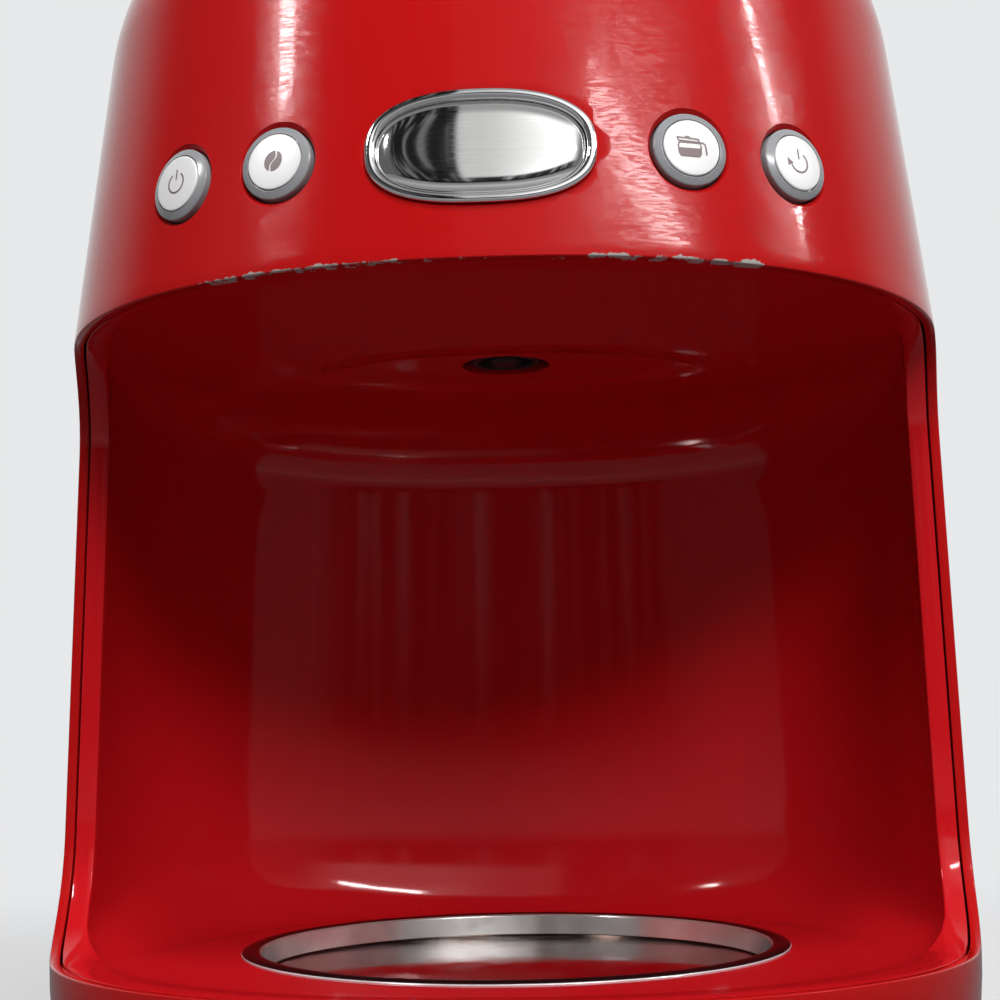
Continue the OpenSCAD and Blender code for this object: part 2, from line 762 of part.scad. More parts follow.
module riser_hose() {
  color([0.75, 0.75, 0.75])
    sweep([[port_x, port_y + 0.2, port_z], [port_x, port_y + 5, port_z],
      [port_x + 6, port_y + 12, port_z], [port_x + 30, port_y + 18, port_z + 1],
      [riser_low.x - 5, riser_low.y - 1, port_z + 5.5], [riser_low.x, riser_low.y, port_z + 18],
      [riser_low.x, riser_low.y, neck_z], [riser_low.x, riser_low.y, liner_top + 4],
      [riser_low.x - 3, riser_low.y - 6, liner_top + 17],
      [riser_high.x + 4, riser_high.y + 8, liner_top + 29],
      [riser_high.x, riser_high.y + 1, liner_top + 41],
      [riser_high.x, riser_high.y, deck_z - 4.2]], hose_d);
}

// Stub that carries the water from the riser up into the lid's channel.
module riser_spout() {
  color([0.2, 0.2, 0.21])
    translate([riser_high.x, riser_high.y, deck_z - 4]) {
      pipe(lid_liner_z - deck_z + 5, hose_d + 1, hose_bore);
      pipe(3.7, hose_d + 5, hose_bore);
    }
}

// ---- Hot plate ----

// Polished pressing that frames the plate: a rolled flange, an upright wall and a ledge.
module warmer_ring() {
  r = ring_d / 2;
  wall_r = ring_wall_r;
  roll = [for (i = [0 : 8])
    let (a = 180 * i / 8)
    [(r + wall_r) / 2 + (r - wall_r) / 2 * cos(a), ring_top - 0.9 + 0.9 * sin(a)]];
  color([0.8, 0.8, 0.8])
    translate([0, brew_y, 0])
      rotate_extrude()
        polygon(concat(roll, [
          [wall_r, plate_z - 0.2], [wall_r - 2.6, plate_z - 0.2],
          [wall_r - 2.6, plate_z - 0.8], [wall_r + plate_t, plate_z - 0.8],
          [wall_r + plate_t, floor_z + 0.1]]));
}

module hot_plate() {
  r = ring_wall_r - 0.5;
  stud_low = heater_top - heater_h - 10;
  color([0.75, 0.75, 0.75])
    translate([0, brew_y, 0])
      rotate_extrude()
        polygon([
          [0, stud_low], [2, stud_low], [2, plate_z], [r, plate_z],
          [r, plate_top - 0.3], [r - 0.3, plate_top], [0, plate_top]]);
}

// Horseshoe casting with the water tube and the heating rod inside.
module heater() {
  gap = 60;
  low = heater_top - heater_h;
  color([0.62, 0.62, 0.64])
    translate([0, brew_y, 0]) {
      rotate([0, 0, 90 + gap / 2])
        rotate_extrude(angle = 360 - gap)
          polygon([
            [heater_r - heater_w / 2, low + 3], [heater_r - heater_w / 2 + 3, low],
            [heater_r + heater_w / 2 - 3, low], [heater_r + heater_w / 2, low + 3],
            [heater_r + heater_w / 2, heater_top], [heater_r - heater_w / 2, heater_top]]);
      for (side = [-1, 1])
        translate([side * port_x, heater_r * cos(30) - 6, port_z])
          rotate([-90, 0, 0])
            cylinder(h = port_y - brew_y - heater_r * cos(30) + 6, d = hose_bore + 1);
    }
}

// Bar that clamps the heater up against the plate.
module heater_strap() {
  low = heater_top - heater_h - 2.3;
  color([0.7, 0.7, 0.72])
    translate([0, brew_y, low])
      difference() {
        translate([-heater_r - 12, -8, 0]) cube([2 * heater_r + 24, 16, 2]);
        translate([0, 0, -cut]) cylinder(h = 4, d = 4 + 2 * running_fit);
      }
}

module strap_nut() {
  color([0.7, 0.7, 0.72])
    translate([0, brew_y, heater_top - heater_h - 5.8])
      difference() {
        cylinder(h = 3.2, d = 8.4, $fn = 6);
        translate([0, 0, -cut]) cylinder(h = 6, d = 4 + 2 * running_fit);
      }
}

module thermostats() {
  color([0.75, 0.72, 0.62])
    for (side = [-1, 1])
      translate([side * 30, brew_y, heater_top - heater_h - 2.3 - 9]) {
        cylinder(h = 5, d = 15);
        translate([0, 0, 5]) cylinder(h = 3.8, d = 16.6);
        for (tab = [-1, 1]) translate([tab * 4 - 0.4, -3, -3]) cube([0.8, 6, 3.2]);
      }
}

// Fuse in its glass sleeve, clipped under the clamping bar.
module thermal_fuse() {
  color([0.9, 0.88, 0.8])
    translate([-12, brew_y, heater_top - heater_h - 2.3 - 3.4])
      rotate([90, 0, 0]) cylinder(h = 26, d = 6, center = true);
}

// ---- Controls ----

bezel_sag = face_y(0, control_z) - face_y(bezel_w / 2, control_z);
bezel_curve = (pow(bezel_w / 2, 2) + pow(bezel_sag, 2)) / (2 * bezel_sag);

// Upright drum that the display's pieces curve round, at a height over the shell's face.
module drum(rise) {
  translate([0, 0, -bezel_curve]) rotate([90, 0, 0])
    cylinder(h = 2 * bezel_h, r = bezel_curve + rise, center = true);
}

module display_bezel() {
  color([0.8, 0.8, 0.82])
    on_front(0, control_z) {
      intersection() {
        difference() {
          translate([0, 0, -10]) linear_extrude(20) bezel_outline(0);
          translate([0, 0, -11]) linear_extrude(22) bezel_outline(bezel_ring);
          drum(0.5);
        }
        drum(bezel_proud);
      }
      intersection() {
        difference() {
          translate([0, 0, -10]) linear_extrude(20) bezel_outline(bezel_ring / 2 + fit);
          translate([0, 0, -11]) linear_extrude(22) bezel_outline(bezel_ring);
          drum(-shell_wall - 1);
        }
        drum(0.55);
      }
    }
}

// Silvered convex window over the display.
module display_lens() {
  color([0.6, 0.6, 0.6])
    on_front(0, control_z)
      intersection() {
        translate([0, 0, -10]) linear_extrude(20) bezel_outline(bezel_ring + 0.3);
        difference() {
          drum(bezel_proud + 0.6);
          drum(-2);
        }
        translate([0, 0, bezel_proud + 1.4 - 74]) rotate([0, 90, 0])
          cylinder(h = 2 * bezel_w, r = 74, center = true);
      }
}

module display_module() {
  color([0.25, 0.35, 0.3])
    on_front(0, control_z)
      translate([0, 0, -9.5]) {
        cube([40, 18, 4], center = true);
        translate([0, 0, -3]) cube([46, 24, 2], center = true);
        translate([0, 0, -7]) cube([20, 4, 6.2], center = true);
      }
}

// Curved plate behind the shell's face, with a guide for each button.
module control_carrier() {
  low = control_z - 17;
  tall = 34;
  wall = 2.4;
  front = shell_wall + 8.6;
  color([0.14, 0.14, 0.15])
    difference() {
      union() {
        translate([0, 0, low]) linear_extrude(tall)
          difference() {
            polygon(body_plan(low + tall, front));
            polygon(body_plan(low + tall, front + wall));
            translate([-body_w, -0.286 * body_d]) square([2 * body_w, 2 * body_d]);
          }
        for (x = button_xs)
          on_front(x, control_z)
            translate([0, 0, guide_back - 3]) {
              cylinder(h = guide_front - guide_back + 3, d = button_d + 5);
              for (y = [-8, 8])
                translate([0, y, board_top + 0.1 - guide_back + 3])
                  cylinder(h = guide_back - 3 - board_top, d = 3);
            }
        on_front(0, control_z)
          for (x = [-27, 27])
            translate([x, 0, board_top + 0.1]) cylinder(h = 5, d = 4);
      }
      for (x = button_xs)
        on_front(x, control_z) {
          translate([0, 0, guide_back + 1.4])
            cylinder(h = 20, d = button_d + 2 * running_fit);
          translate([0, 0, stem_end - 16]) cylinder(h = 30, d = 7);
        }
      on_front(0, control_z)
        translate([0, 0, -20]) linear_extrude(24) square([46.6, 24.6], center = true);
    }
}

// Cap, side wall and stem of one button.
module button_cap(x) {
  pocket = 1.2;
  color([0.5, 0.5, 0.52])
    on_front(x, control_z)
      rotate_extrude()
        polygon([
          [0, stem_end], [2.5, stem_end], [2.5, cap_back], [button_d / 2, cap_back],
          [button_d / 2, button_proud - 0.8], [button_d / 2 - 0.8, button_proud],
          [disc_d / 2 + fit / 2, button_proud], [disc_d / 2 + fit / 2, button_proud - pocket],
          [0, button_proud - pocket]]);
}

module button_disc(x) {
  color([0.92, 0.92, 0.92])
    on_front(x, control_z)
      rotate_extrude()
        polygon([
          [0, button_proud - 1.1], [disc_d / 2, button_proud - 1.1],
          [disc_d / 2, button_proud + 0.1], [disc_d / 2 - 0.5, button_proud + 0.4],
          [0, button_proud + 0.6]]);
}

module power_button() { button_cap(button_xs[0]); }
module power_disc() { button_disc(button_xs[0]); }
module aroma_button() { button_cap(button_xs[1]); }
module aroma_disc() { button_disc(button_xs[1]); }
module jug_button() { button_cap(button_xs[2]); }
module jug_disc() { button_disc(button_xs[2]); }
module timer_button() { button_cap(button_xs[3]); }
module timer_disc() { button_disc(button_xs[3]); }

module button_switches() {
  color([0.3, 0.3, 0.32])
    for (x = button_xs)
      on_front(x, control_z) {
        translate([0, 0, switch_top - 3]) cylinder(h = 3, d = 3.4);
        translate([-3, -3, board_top + 0.1]) cube([6, 6, 3.6]);
      }
}

// Board strips behind the carrier: one behind the display and one behind each button.
module control_board() {
  thick = 1.6;
  color([0.1, 0.3, 0.15]) {
    for (x = button_xs)
      on_front(x, control_z)
        translate([-7, -10, board_top - thick]) cube([14, 20, thick]);
    on_front(0, control_z)
      translate([-31, -13, board_top - thick]) cube([62, 26, thick]);
  }
}

// ---- Base ----

module base_plate() {
  color([0.15, 0.15, 0.16])
    difference() {
      translate([0, 0, skirt_z]) linear_extrude(base_t)
        polygon(body_plan(skirt_z, shell_wall + fit));
      for (p = boss_spots) translate([p.x, p.y, skirt_z - cut]) {
        cylinder(h = base_t + 2 * cut, d = screw_d + 0.4);
        cylinder(h = 1.4 + cut, d = 2 * screw_d + 0.6);
      }
      for (p = foot_spots) translate([p.x, p.y, skirt_z - cut])
        cylinder(h = base_t + 2 * cut, d = 6 + 2 * running_fit);
      for (x = [-35 : 10 : 35])
        translate([x - 1.5, -14, skirt_z - cut]) cube([3, 34, base_t + 2 * cut]);
    }
}

// Frame inside the skirt that carries the liner and takes the base screws.
module base_frame() {
  z = base_top + fit;
  top = liner_low - fit;
  color([0.2, 0.2, 0.21])
    difference() {
      union() {
        translate([0, 0, z]) linear_extrude(top - z)
          difference() {
            polygon(body_plan(z, frame_inset));
            polygon(body_plan(z, frame_inset + frame_wall));
          }
        for (p = boss_spots) translate([p.x, p.y, z]) {
          cylinder(h = boss_h, d = boss_d);
          translate([p.x > 0 ? 0 : -body_w / 4, -1.2, 0]) cube([body_w / 4, 2.4, boss_h]);
        }
      }
      for (p = boss_spots) translate([p.x, p.y, z - cut])
        cylinder(h = boss_h - 3, d = screw_d + 2 * running_fit);
      on_back(gland_x, gland_z) translate([0, 0, -22]) cylinder(h = 24, d = gland_bore + 12);
      translate([tank_port.x - 18, port_y - 4, port_z - 9])
        cube([riser_low.x - tank_port.x + 36, body_d, body_h]);
      difference() {
        translate([0, 0, z - cut]) linear_extrude(top - z + 2 * cut)
          square([3 * body_w, 3 * body_d], center = true);
        translate([0, 0, z - 2 * cut]) linear_extrude(top - z + 4 * cut)
          polygon(body_plan(z, frame_inset));
      }
    }
}

module base_screws() {
  color([0.65, 0.65, 0.67])
    for (p = boss_spots) translate([p.x, p.y, skirt_z + 0.2]) {
      difference() {
        cylinder(h = 1.1, d = 2 * screw_d);
        translate([0, 0, -cut]) cylinder(h = cut + 0.6, d = screw_d - 0.6, $fn = 6);
      }
      cylinder(h = 16, d = screw_d);
    }
}

module feet() {
  color([0.08, 0.08, 0.08])
    for (p = foot_spots) translate([p.x, p.y, 0])
      rotate_extrude()
        polygon([
          [0, 0], [foot_d / 2 - 1.5, 0], [foot_d / 2, 1.5], [foot_d / 2, skirt_z - 0.1],
          [3, skirt_z - 0.1], [3, base_top], [0, base_top]]);
}

module power_board() {
  z = base_top + 3;
  color([0.1, 0.3, 0.15])
    translate([0, brew_y, 0]) {
      translate([-42, -30, z]) cube([84, 60, 1.6]);
      translate([-36, -24, z + 1.6]) cube([20, 16, 9]);
      translate([-36, 4, z + 1.6]) cube([18, 14, 7]);
      translate([14, -22, z + 1.6]) cube([12, 17, 8]);
      for (x = [-38, 38], y = [-26, 26])
        translate([x, y, base_top + 0.1]) cylinder(h = 3, d = 5);
    }
}

// Bush that the mains cord passes through at the back.
module cord_gland() {
  d = gland_bore + 8 - 2 * fit;
  color([0.07, 0.07, 0.07])
    on_back(gland_x, gland_z)
      difference() {
        union() {
          translate([0, 0, -shell_wall - 4]) cylinder(h = shell_wall + 6, d = d);
          translate([0, 0, 0.8]) cylinder(h = 2, d1 = d + 5, d2 = d + 3);
          translate([0, 0, -shell_wall - 4]) cylinder(h = 2.6, d = d + 4);
        }
        translate([0, 0, -shell_wall - 5]) cylinder(h = shell_wall + 10, d = gland_bore);
      }
}

outer_shell();
bay_liner();
lid();
lid_liner();
lid_arms();
hinge_brackets();
hinge_pins();
spray_head();
top_deck();
filter_basket();
mesh_filter();
valve_plunger();
valve_seal();
valve_spring();
valve_cap();
reservoir();
level_window();
reservoir_filter();
check_valve();
feed_hose();
riser_hose();
riser_spout();
hot_plate();
warmer_ring();
heater();
heater_strap();
strap_nut();
thermostats();
thermal_fuse();
display_bezel();
display_lens();
display_module();
control_carrier();
control_board();
button_switches();
power_button();
power_disc();
aroma_button();
aroma_disc();
jug_button();
jug_disc();
timer_button();
timer_disc();
base_plate();
base_frame();
base_screws();
feet();
power_board();
cord_gland();
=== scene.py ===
# %% [markdown]
# # A domed drip-filter coffee machine
# The machine is a painted, C-shaped housing with a hinged dome on top. A separate moulding lines
# the jug bay, a steel hot plate sits in its floor, and a row of four push buttons flanks a small
# oval display. The fixed CAD model gives every size and place. This lesson dresses it: it makes the
# smooth outer forms again with finer surfaces, and gives every part a finish of its own.

from math import acos, atan2, copysign, cos, degrees, hypot, pi, radians, sin, sqrt, tan, tau

import bmesh
import bpy
from mathutils import Matrix, Vector


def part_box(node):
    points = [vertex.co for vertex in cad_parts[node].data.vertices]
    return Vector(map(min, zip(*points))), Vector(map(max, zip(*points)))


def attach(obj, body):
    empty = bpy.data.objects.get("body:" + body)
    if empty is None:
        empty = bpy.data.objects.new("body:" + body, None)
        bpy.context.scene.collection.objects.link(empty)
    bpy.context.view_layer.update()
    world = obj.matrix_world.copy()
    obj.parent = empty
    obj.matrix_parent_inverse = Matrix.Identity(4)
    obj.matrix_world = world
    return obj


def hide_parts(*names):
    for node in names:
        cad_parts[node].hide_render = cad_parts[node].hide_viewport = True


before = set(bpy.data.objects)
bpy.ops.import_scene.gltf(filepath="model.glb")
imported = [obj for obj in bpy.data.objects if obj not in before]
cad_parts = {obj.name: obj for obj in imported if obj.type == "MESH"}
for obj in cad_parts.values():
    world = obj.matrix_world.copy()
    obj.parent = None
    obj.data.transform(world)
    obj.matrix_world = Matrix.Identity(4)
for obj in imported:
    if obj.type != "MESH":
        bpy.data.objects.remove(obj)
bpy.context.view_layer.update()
MM = 0.001


# %% [markdown]
# ## The camera and the light
# The machine is seen from a little above the table, close up, so that the head leans over the
# viewer and the bay opens below it. A long lens keeps the sides straight. The light is plain and
# soft. It comes from the front at about a third of a right angle, so the head shades the upper bay
# and the bay's floor is bright. Gloss paint and steel show their form by what they mirror. What the
# world shows to reflections therefore changes with direction: pale behind the machine, a pale
# window in front on the right, a little above eye level, and dim elsewhere, with soft upright folds
# near the horizon that the bay's back wall mirrors. Three strip lamps give the streaks on the head
# and light no surface directly.

# %% Camera
def shown(name, data):
    """A new object in the scene, made from its data."""
    made = bpy.data.objects.new(name, data)
    bpy.context.scene.collection.objects.link(made)
    return made


camera_data = bpy.data.cameras.new("camera")
camera_data.sensor_width = 36
camera_data.lens = 60.3
camera = shown("camera", camera_data)
yaw, pitch, roll = (radians(a) for a in (-2.736, 7.753, -0.988))
ahead = Vector((sin(yaw) * cos(pitch), cos(yaw) * cos(pitch), sin(pitch)))
across = Vector((cos(yaw), -sin(yaw), 0))
over = across.cross(ahead)
right = across * cos(roll) + over * sin(roll)
up = over * cos(roll) - across * sin(roll)
turn = Matrix((right, up, -ahead)).transposed().to_4x4()
camera.matrix_world = Matrix.Translation((0.0213, -0.4933, 0.1158)) @ turn
camera_data.clip_start = 0.01
bpy.context.scene.camera = camera
bpy.context.scene.view_settings.view_transform = "Standard"
print("camera at", [round(v, 3) for v in camera.location])


# %% Node helpers
def set_inputs(tree, node, *placed, **named):
    """Sets a node's inputs, by place or by name, to values, or links them to sockets."""
    wanted = list(zip(node.inputs, placed))
    wanted += [(node.inputs[label.replace("_", " ")], value) for label, value in named.items()]
    for socket, value in wanted:
        if isinstance(value, bpy.types.NodeSocket):
            tree.links.new(value, socket)
        else:
            socket.default_value = value


def add_node(tree, kind, *placed, traits=(), **named):
    """Adds a shader node with its traits, such as its operation, and its inputs."""
    node = tree.nodes.new("ShaderNode" + kind)
    for trait, value in traits:
        setattr(node, trait, value)
    set_inputs(tree, node, *placed, **named)
    return node


def ramped(tree, value, low, high, bottom=0.0, top=1.0, way="SMOOTHSTEP"):
    """Maps a value from low..high to bottom..top, and clamps it."""
    return add_node(tree, "MapRange", value, low, high, bottom, top,
                    traits=[("interpolation_type", way)]).outputs[0]


def blended(tree, factor, first, second):
    """Mixes two numbers or sockets by a factor."""
    return add_node(tree, "Mix", Factor=factor, A=first, B=second).outputs["Result"]


def reckoned(tree, operation, first, second):
    """One step of arithmetic on sockets or numbers."""
    return add_node(tree, "Math", first, second, traits=[("operation", operation)]).outputs[0]


# %% World
BACKDROP = (0.80, 0.81, 0.82, 1)
world = bpy.data.worlds.new("studio")
bpy.context.scene.world = world
world.use_nodes = True
sky = world.node_tree
sky.nodes.clear()
heading = add_node(sky, "TexCoord").outputs["Generated"]
east, north, above = add_node(sky, "SeparateXYZ", heading).outputs
around = add_node(sky, "CombineXYZ", X=reckoned(sky, "MULTIPLY", east, 26),
                  Z=reckoned(sky, "MULTIPLY", above, 2.2)).outputs[0]
folds = add_node(sky, "TexNoise", Vector=around, Scale=1, Detail=3).outputs["Fac"]
streaks = reckoned(sky, "MULTIPLY", ramped(sky, folds, 0.46, 0.70, 0.03, 0.50),
                   ramped(sky, above, -0.02, 0.09, 0.15, 1))
window = blended(sky, ramped(sky, east, -0.06, 0.22), 0.8, 1.7)
low_right = blended(sky, ramped(sky, above, 0.15, 0.24), streaks, window)
high_right = blended(sky, ramped(sky, above, 0.70, 0.88), low_right, 0.45)
right_side = blended(sky, ramped(sky, east, 0.50, 0.80), high_right, 0.22)
low_left = reckoned(sky, "MULTIPLY", streaks, 0.45)
left_side = blended(sky, ramped(sky, east, -0.45, -0.62), low_left, 0.15)
in_front = blended(sky, ramped(sky, east, -0.125, -0.105), left_side, right_side)
mirrored = blended(sky, ramped(sky, north, 0.08, 0.45), in_front, 0.90)
rays = add_node(sky, "LightPath").outputs
light = add_node(sky, "Background", Strength=blended(sky, rays["Is Glossy Ray"], 0.11, mirrored))
backdrop = add_node(sky, "Background", Color=BACKDROP)
seen = reckoned(sky, "MAXIMUM", rays["Is Camera Ray"], rays["Is Transmission Ray"])
choice = add_node(sky, "MixShader", seen, light.outputs[0], backdrop.outputs[0])
add_node(sky, "OutputWorld", Surface=choice.outputs[0])
print("world nodes:", len(sky.nodes))


# %% Lamps
def area_lamp(name, place, aim, size, watts, mirrors=False):
    """A rectangular lamp at place that faces aim. Only strips are seen in reflections."""
    data = bpy.data.lights.new(name, "AREA")
    data.shape = "RECTANGLE"
    data.size, data.size_y = size
    data.energy = watts
    lamp = shown(name, data)
    lamp.location = place
    lamp.rotation_euler = (Vector(aim) - Vector(place)).to_track_quat("-Z", "Y").to_euler()
    lamp.visible_glossy = mirrors
    return lamp


def strip_lamp(name, low, high, width, watts):
    """A narrow lamp stretched between two points. Gloss surfaces mirror it as a streak."""
    low, high, aim = Vector(low), Vector(high), Vector((0, -0.1, 0.26))
    middle = (low + high) / 2
    along = (high - low).normalized()
    away = (middle - aim).normalized()
    across = along.cross(away).normalized()
    lamp = area_lamp(name, middle, aim, (width, (high - low).length), watts, mirrors=True)
    lamp.matrix_world = Matrix.Translation(middle) @ Matrix(
        (across, along, across.cross(along))).transposed().to_4x4()
    lamp.visible_diffuse = False
    return lamp


area_lamp("key_lamp", (0.46, -1.33, 1.01), (0, -0.02, 0.15), (0.50, 0.34), 14.5)
area_lamp("top_lamp", (0.10, -0.78, 1.50), (0, -0.10, 0.15), (0.40, 0.30), 15)
area_lamp("left_lamp", (-1.30, -0.75, 0.95), (0, 0, 0.2), (0.6, 0.5), 5)
area_lamp("right_lamp", (1.30, -0.55, 0.95), (0, 0, 0.2), (0.5, 0.5), 3.5)
area_lamp("back_lamp", (0.1, 1.3, 1.1), (0, 0, 0.2), (0.9, 0.5), 8)
strip_lamp("strip_left", (-1.106, -0.96, 1.120), (-1.10, -0.80, 1.42), 0.10, 13)
strip_lamp("strip_right", (1.50, -0.33, 0.93), (1.30, -0.56, 1.22), 0.036, 7)
strip_lamp("strip_middle", (1.00, -1.14, 0.92), (0.46, -1.36, 1.14), 0.09, 11)

# %% [markdown]
# ## Sizes that the outer forms share
# The housing's plan is a superellipse: an ellipse with a power of 2.2, which makes it a little
# squarer. Its half-width follows a short list of rules over the height, with a tucked-in skirt, a
# slight waist, a head that leans back and a rounded shoulder. The same rules shape the shell, the
# bay and the lid, so they are written once, as functions, in millimetres.

# %% Outline of the housing
WIDTH, DEPTH, HEIGHT, POWER = 256, 245, 361, 2.2
SKIRT_Z, RIM_Z, HEAD_Z, SHOULDER_Z, SPLIT_Z, CROWN = 5, 56.4, 223.4, 305, 322, 4
FLOOR_Z, BREW_Y, BAY_FRONT, BAY_BACK = 53.8, 3, 17, 90
LOW_ROUND, HIGH_ROUND = 31, 26.5
SHELL_WALL, SEAM, RIM = 3.6, 0.6, 4.5
BAY_INSET = SHELL_WALL + SEAM + RIM
SKIRT_IN, SKIRT_ROUND, WAIST, LEAN, SHOULDER_IN = 30, 60, 3.5, 6.5, 38
TOP_Z = HEIGHT - CROWN


def quarter(s):
    """Drop of a quarter round: 0 at 0, 1 at 1."""
    return 1 - sqrt(max(0, 1 - s * s))


def half_w(z):
    """Half the housing's width at a height."""
    if z < RIM_Z:
        return WIDTH / 2 - SKIRT_IN * quarter((RIM_Z - z) / SKIRT_ROUND)
    if z < HEAD_Z:
        return WIDTH / 2 - WAIST * (z - RIM_Z) / (HEAD_Z - RIM_Z)
    shoulder = min(1, max(0, (z - SHOULDER_Z) / (TOP_Z - SHOULDER_Z)))
    lean = (z - HEAD_Z) * tan(radians(LEAN))
    return WIDTH / 2 - WAIST - lean - SHOULDER_IN * quarter(shoulder)


def half_d(z):
    """Half the housing's depth at a height."""
    return half_w(z) * DEPTH / WIDTH


def spow(value, power):
    """Power that keeps the sign."""
    return copysign(abs(value) ** power, value)


def on_ring(angle, across, front, back):
    """Point of the plan outline, at an angle counted from the back and turning towards +X."""
    y = spow(cos(angle), 2 / POWER)
    return across * spow(sin(angle), 2 / POWER), y * (front if y < 0 else back)


def face_y(x, z):
    """Distance of the housing's front from the middle."""
    return half_d(z) * (1 - (abs(x) / half_w(z)) ** POWER) ** (1 / POWER)


print("half-widths:", [round(half_w(z), 1) for z in (SKIRT_Z, RIM_Z, HEAD_Z, SHOULDER_Z, SPLIT_Z)])


# %% A frame on the front face
def on_front(x, z):
    """Matrix whose +Z leaves the front face at x and z, with +Y up the face."""
    p = POWER - 1
    gx = spow(x / half_w(z), p) / half_w(z)
    gy = (face_y(x, z) / half_d(z)) ** p / half_d(z)
    slope = (half_w(z - 1) - half_w(z + 1)) / 2
    tilt = atan2(slope / half_w(z), hypot(gx, gy))
    spin = Matrix.Rotation(atan2(gx, gy), 4, "Z") @ Matrix.Rotation(pi / 2 - tilt, 4, "X")
    return Matrix.Translation(Vector((x, -face_y(x, z), z)) * MM) @ spin


print("display frame leans", round(degrees(on_front(0, 252).to_euler().x), 1), "degrees from flat")


# %% [markdown]
# ## Turning a flat grid into a moulding
# Every large form here is a sheet wrapped round the machine. A flat grid is created, the faces
# where the bay opens are deleted, and each remaining vertex is carried to its place by its column,
# which goes round, and its row, which goes up. The edge of the bay then runs exactly along grid
# lines, so it stays crisp and can be extruded and bevelled without a boolean.

# %% A wrapped sheet
def wrapped_sheet(columns, rows, place, opening=None):
    """A bmesh grid wrapped into a closed ring of columns, without the faces that opening picks."""
    def cell(point, whole):
        return whole((point.x + 0.5) * columns), whole((point.y + 0.5) * rows)
    bm = bmesh.new()
    bmesh.ops.create_grid(bm, x_segments=columns, y_segments=rows, size=0.5)
    if opening:
        gone = [face for face in bm.faces if opening(*cell(face.calc_center_median(), int))]
        bmesh.ops.delete(bm, geom=gone, context="FACES")
    for vert in bm.verts:
        vert.co = Vector(place(*cell(vert.co, round))) * MM
    bmesh.ops.remove_doubles(bm, verts=bm.verts, dist=0.00002)
    bmesh.ops.recalc_face_normals(bm, faces=bm.faces)
    return bm


# %% Pieces
def new_object(name, bm):
    """An object made from a bmesh, which is freed."""
    mesh = bpy.data.meshes.new(name)
    bm.to_mesh(mesh)
    bm.free()
    return shown(name, mesh)


def shade(mesh, angle):
    """Shades a mesh smooth, up to an angle in degrees."""
    mesh.shade_smooth()
    mesh.set_sharp_from_angle(angle=radians(angle))


def finish_piece(name, bm, body, node_names=(), smooth=40):
    """Makes a piece from a bmesh, shades it smooth up to an angle and ties it to its CAD body."""
    piece = new_object(name, bm)
    shade(piece.data, smooth)
    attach(piece, body)
    if node_names:
        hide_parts(*node_names)
    print(name, "faces:", len(piece.data.polygons))
    return piece


# %% Moving and rounding
def moved(bm, matrix):
    """A bmesh carried to its place by a matrix."""
    bmesh.ops.transform(bm, matrix=matrix, verts=bm.verts)
    return bm


def folded(edge, angle):
    """True if an edge joins two faces that turn by more than an angle in radians."""
    return len(edge.link_faces) == 2 and edge.calc_face_angle(0) > angle


def bevelled(bm, edges, width, segments, clamp=False):
    """Rounds edges to a width in millimetres."""
    bmesh.ops.bevel(bm, geom=edges, offset=width * MM, segments=segments, profile=0.5,
                    affect="EDGES", material=-1, clamp_overlap=clamp)


# %% Turned forms
def spun(profile, steps=96, centre=(0, 0)):
    """A bmesh turned from a profile of (radius, height) points about an upright axis."""
    bm = bmesh.new()
    verts = [bm.verts.new((r * MM, 0, z * MM)) for r, z in profile]
    edges = [bm.edges.new(pair) for pair in zip(verts, verts[1:])]
    bmesh.ops.spin(bm, geom=verts + edges, cent=(0, 0, 0), axis=(0, 0, 1), angle=tau,
                   steps=steps, use_merge=True)
    bmesh.ops.remove_doubles(bm, verts=bm.verts, dist=0.000005)
    bmesh.ops.recalc_face_normals(bm, faces=bm.faces)
    bmesh.ops.translate(bm, verts=bm.verts, vec=(centre[0] * MM, centre[1] * MM, 0))
    return bm


def rounded(corner, radius, start, end, steps=4):
    """Points of a rounded corner between the directions towards start and end."""
    corner, start, end = Vector(corner), Vector(start), Vector(end)
    a = corner + (start - corner).normalized() * radius
    b = corner + (end - corner).normalized() * radius
    points = []
    for i in range(steps + 1):
        t = i / steps
        points.append(tuple(a * (1 - t) ** 2 + corner * 2 * t * (1 - t) + b * t * t))
    return points


# %% Cutting
def cut(piece, *cutters):
    """Cuts closed bmesh cutters out of a piece."""
    for bm in cutters:
        tool = new_object("cutter", bm)
        modifier = piece.modifiers.new("cut", "BOOLEAN")
        modifier.operation = "DIFFERENCE"
        modifier.solver = "EXACT"
        modifier.object = tool
        bpy.context.view_layer.update()
        result = piece.evaluated_get(bpy.context.evaluated_depsgraph_get())
        result = bpy.data.meshes.new_from_object(result)
        piece.modifiers.clear()
        piece.data = result
        bpy.data.objects.remove(tool)
    shade(result, 32)
    print(piece.name, "after its cuts:", len(result.polygons), "faces")


# %% [markdown]
# ## The edge of the bay
# Seen from the side the bay is a C with rounded corners, cut straight across the machine. Each row
# of the sheet therefore starts its rear part where that C lies at its height. The rows between the
# base and the head carry only their rear columns; the rows above and below go all the way round.

# %% Rows and columns of the sheets
REAR, FRONT = 44, 76
COLUMNS = 2 * REAR + FRONT


def steps_of(start, end, count):
    """Even steps from start to end, without the start."""
    return [start + (end - start) * (i + 1) / count for i in range(count)]


def corner_rows(z, rise, start, end):
    """Rows of a round corner of the C that climbs from z by rise: heights and the edge's y."""
    return [(z + rise * (1 - cos(a)), -BAY_FRONT - abs(rise) * (1 - sin(a)))
            for a in steps_of(start, end, 9)]


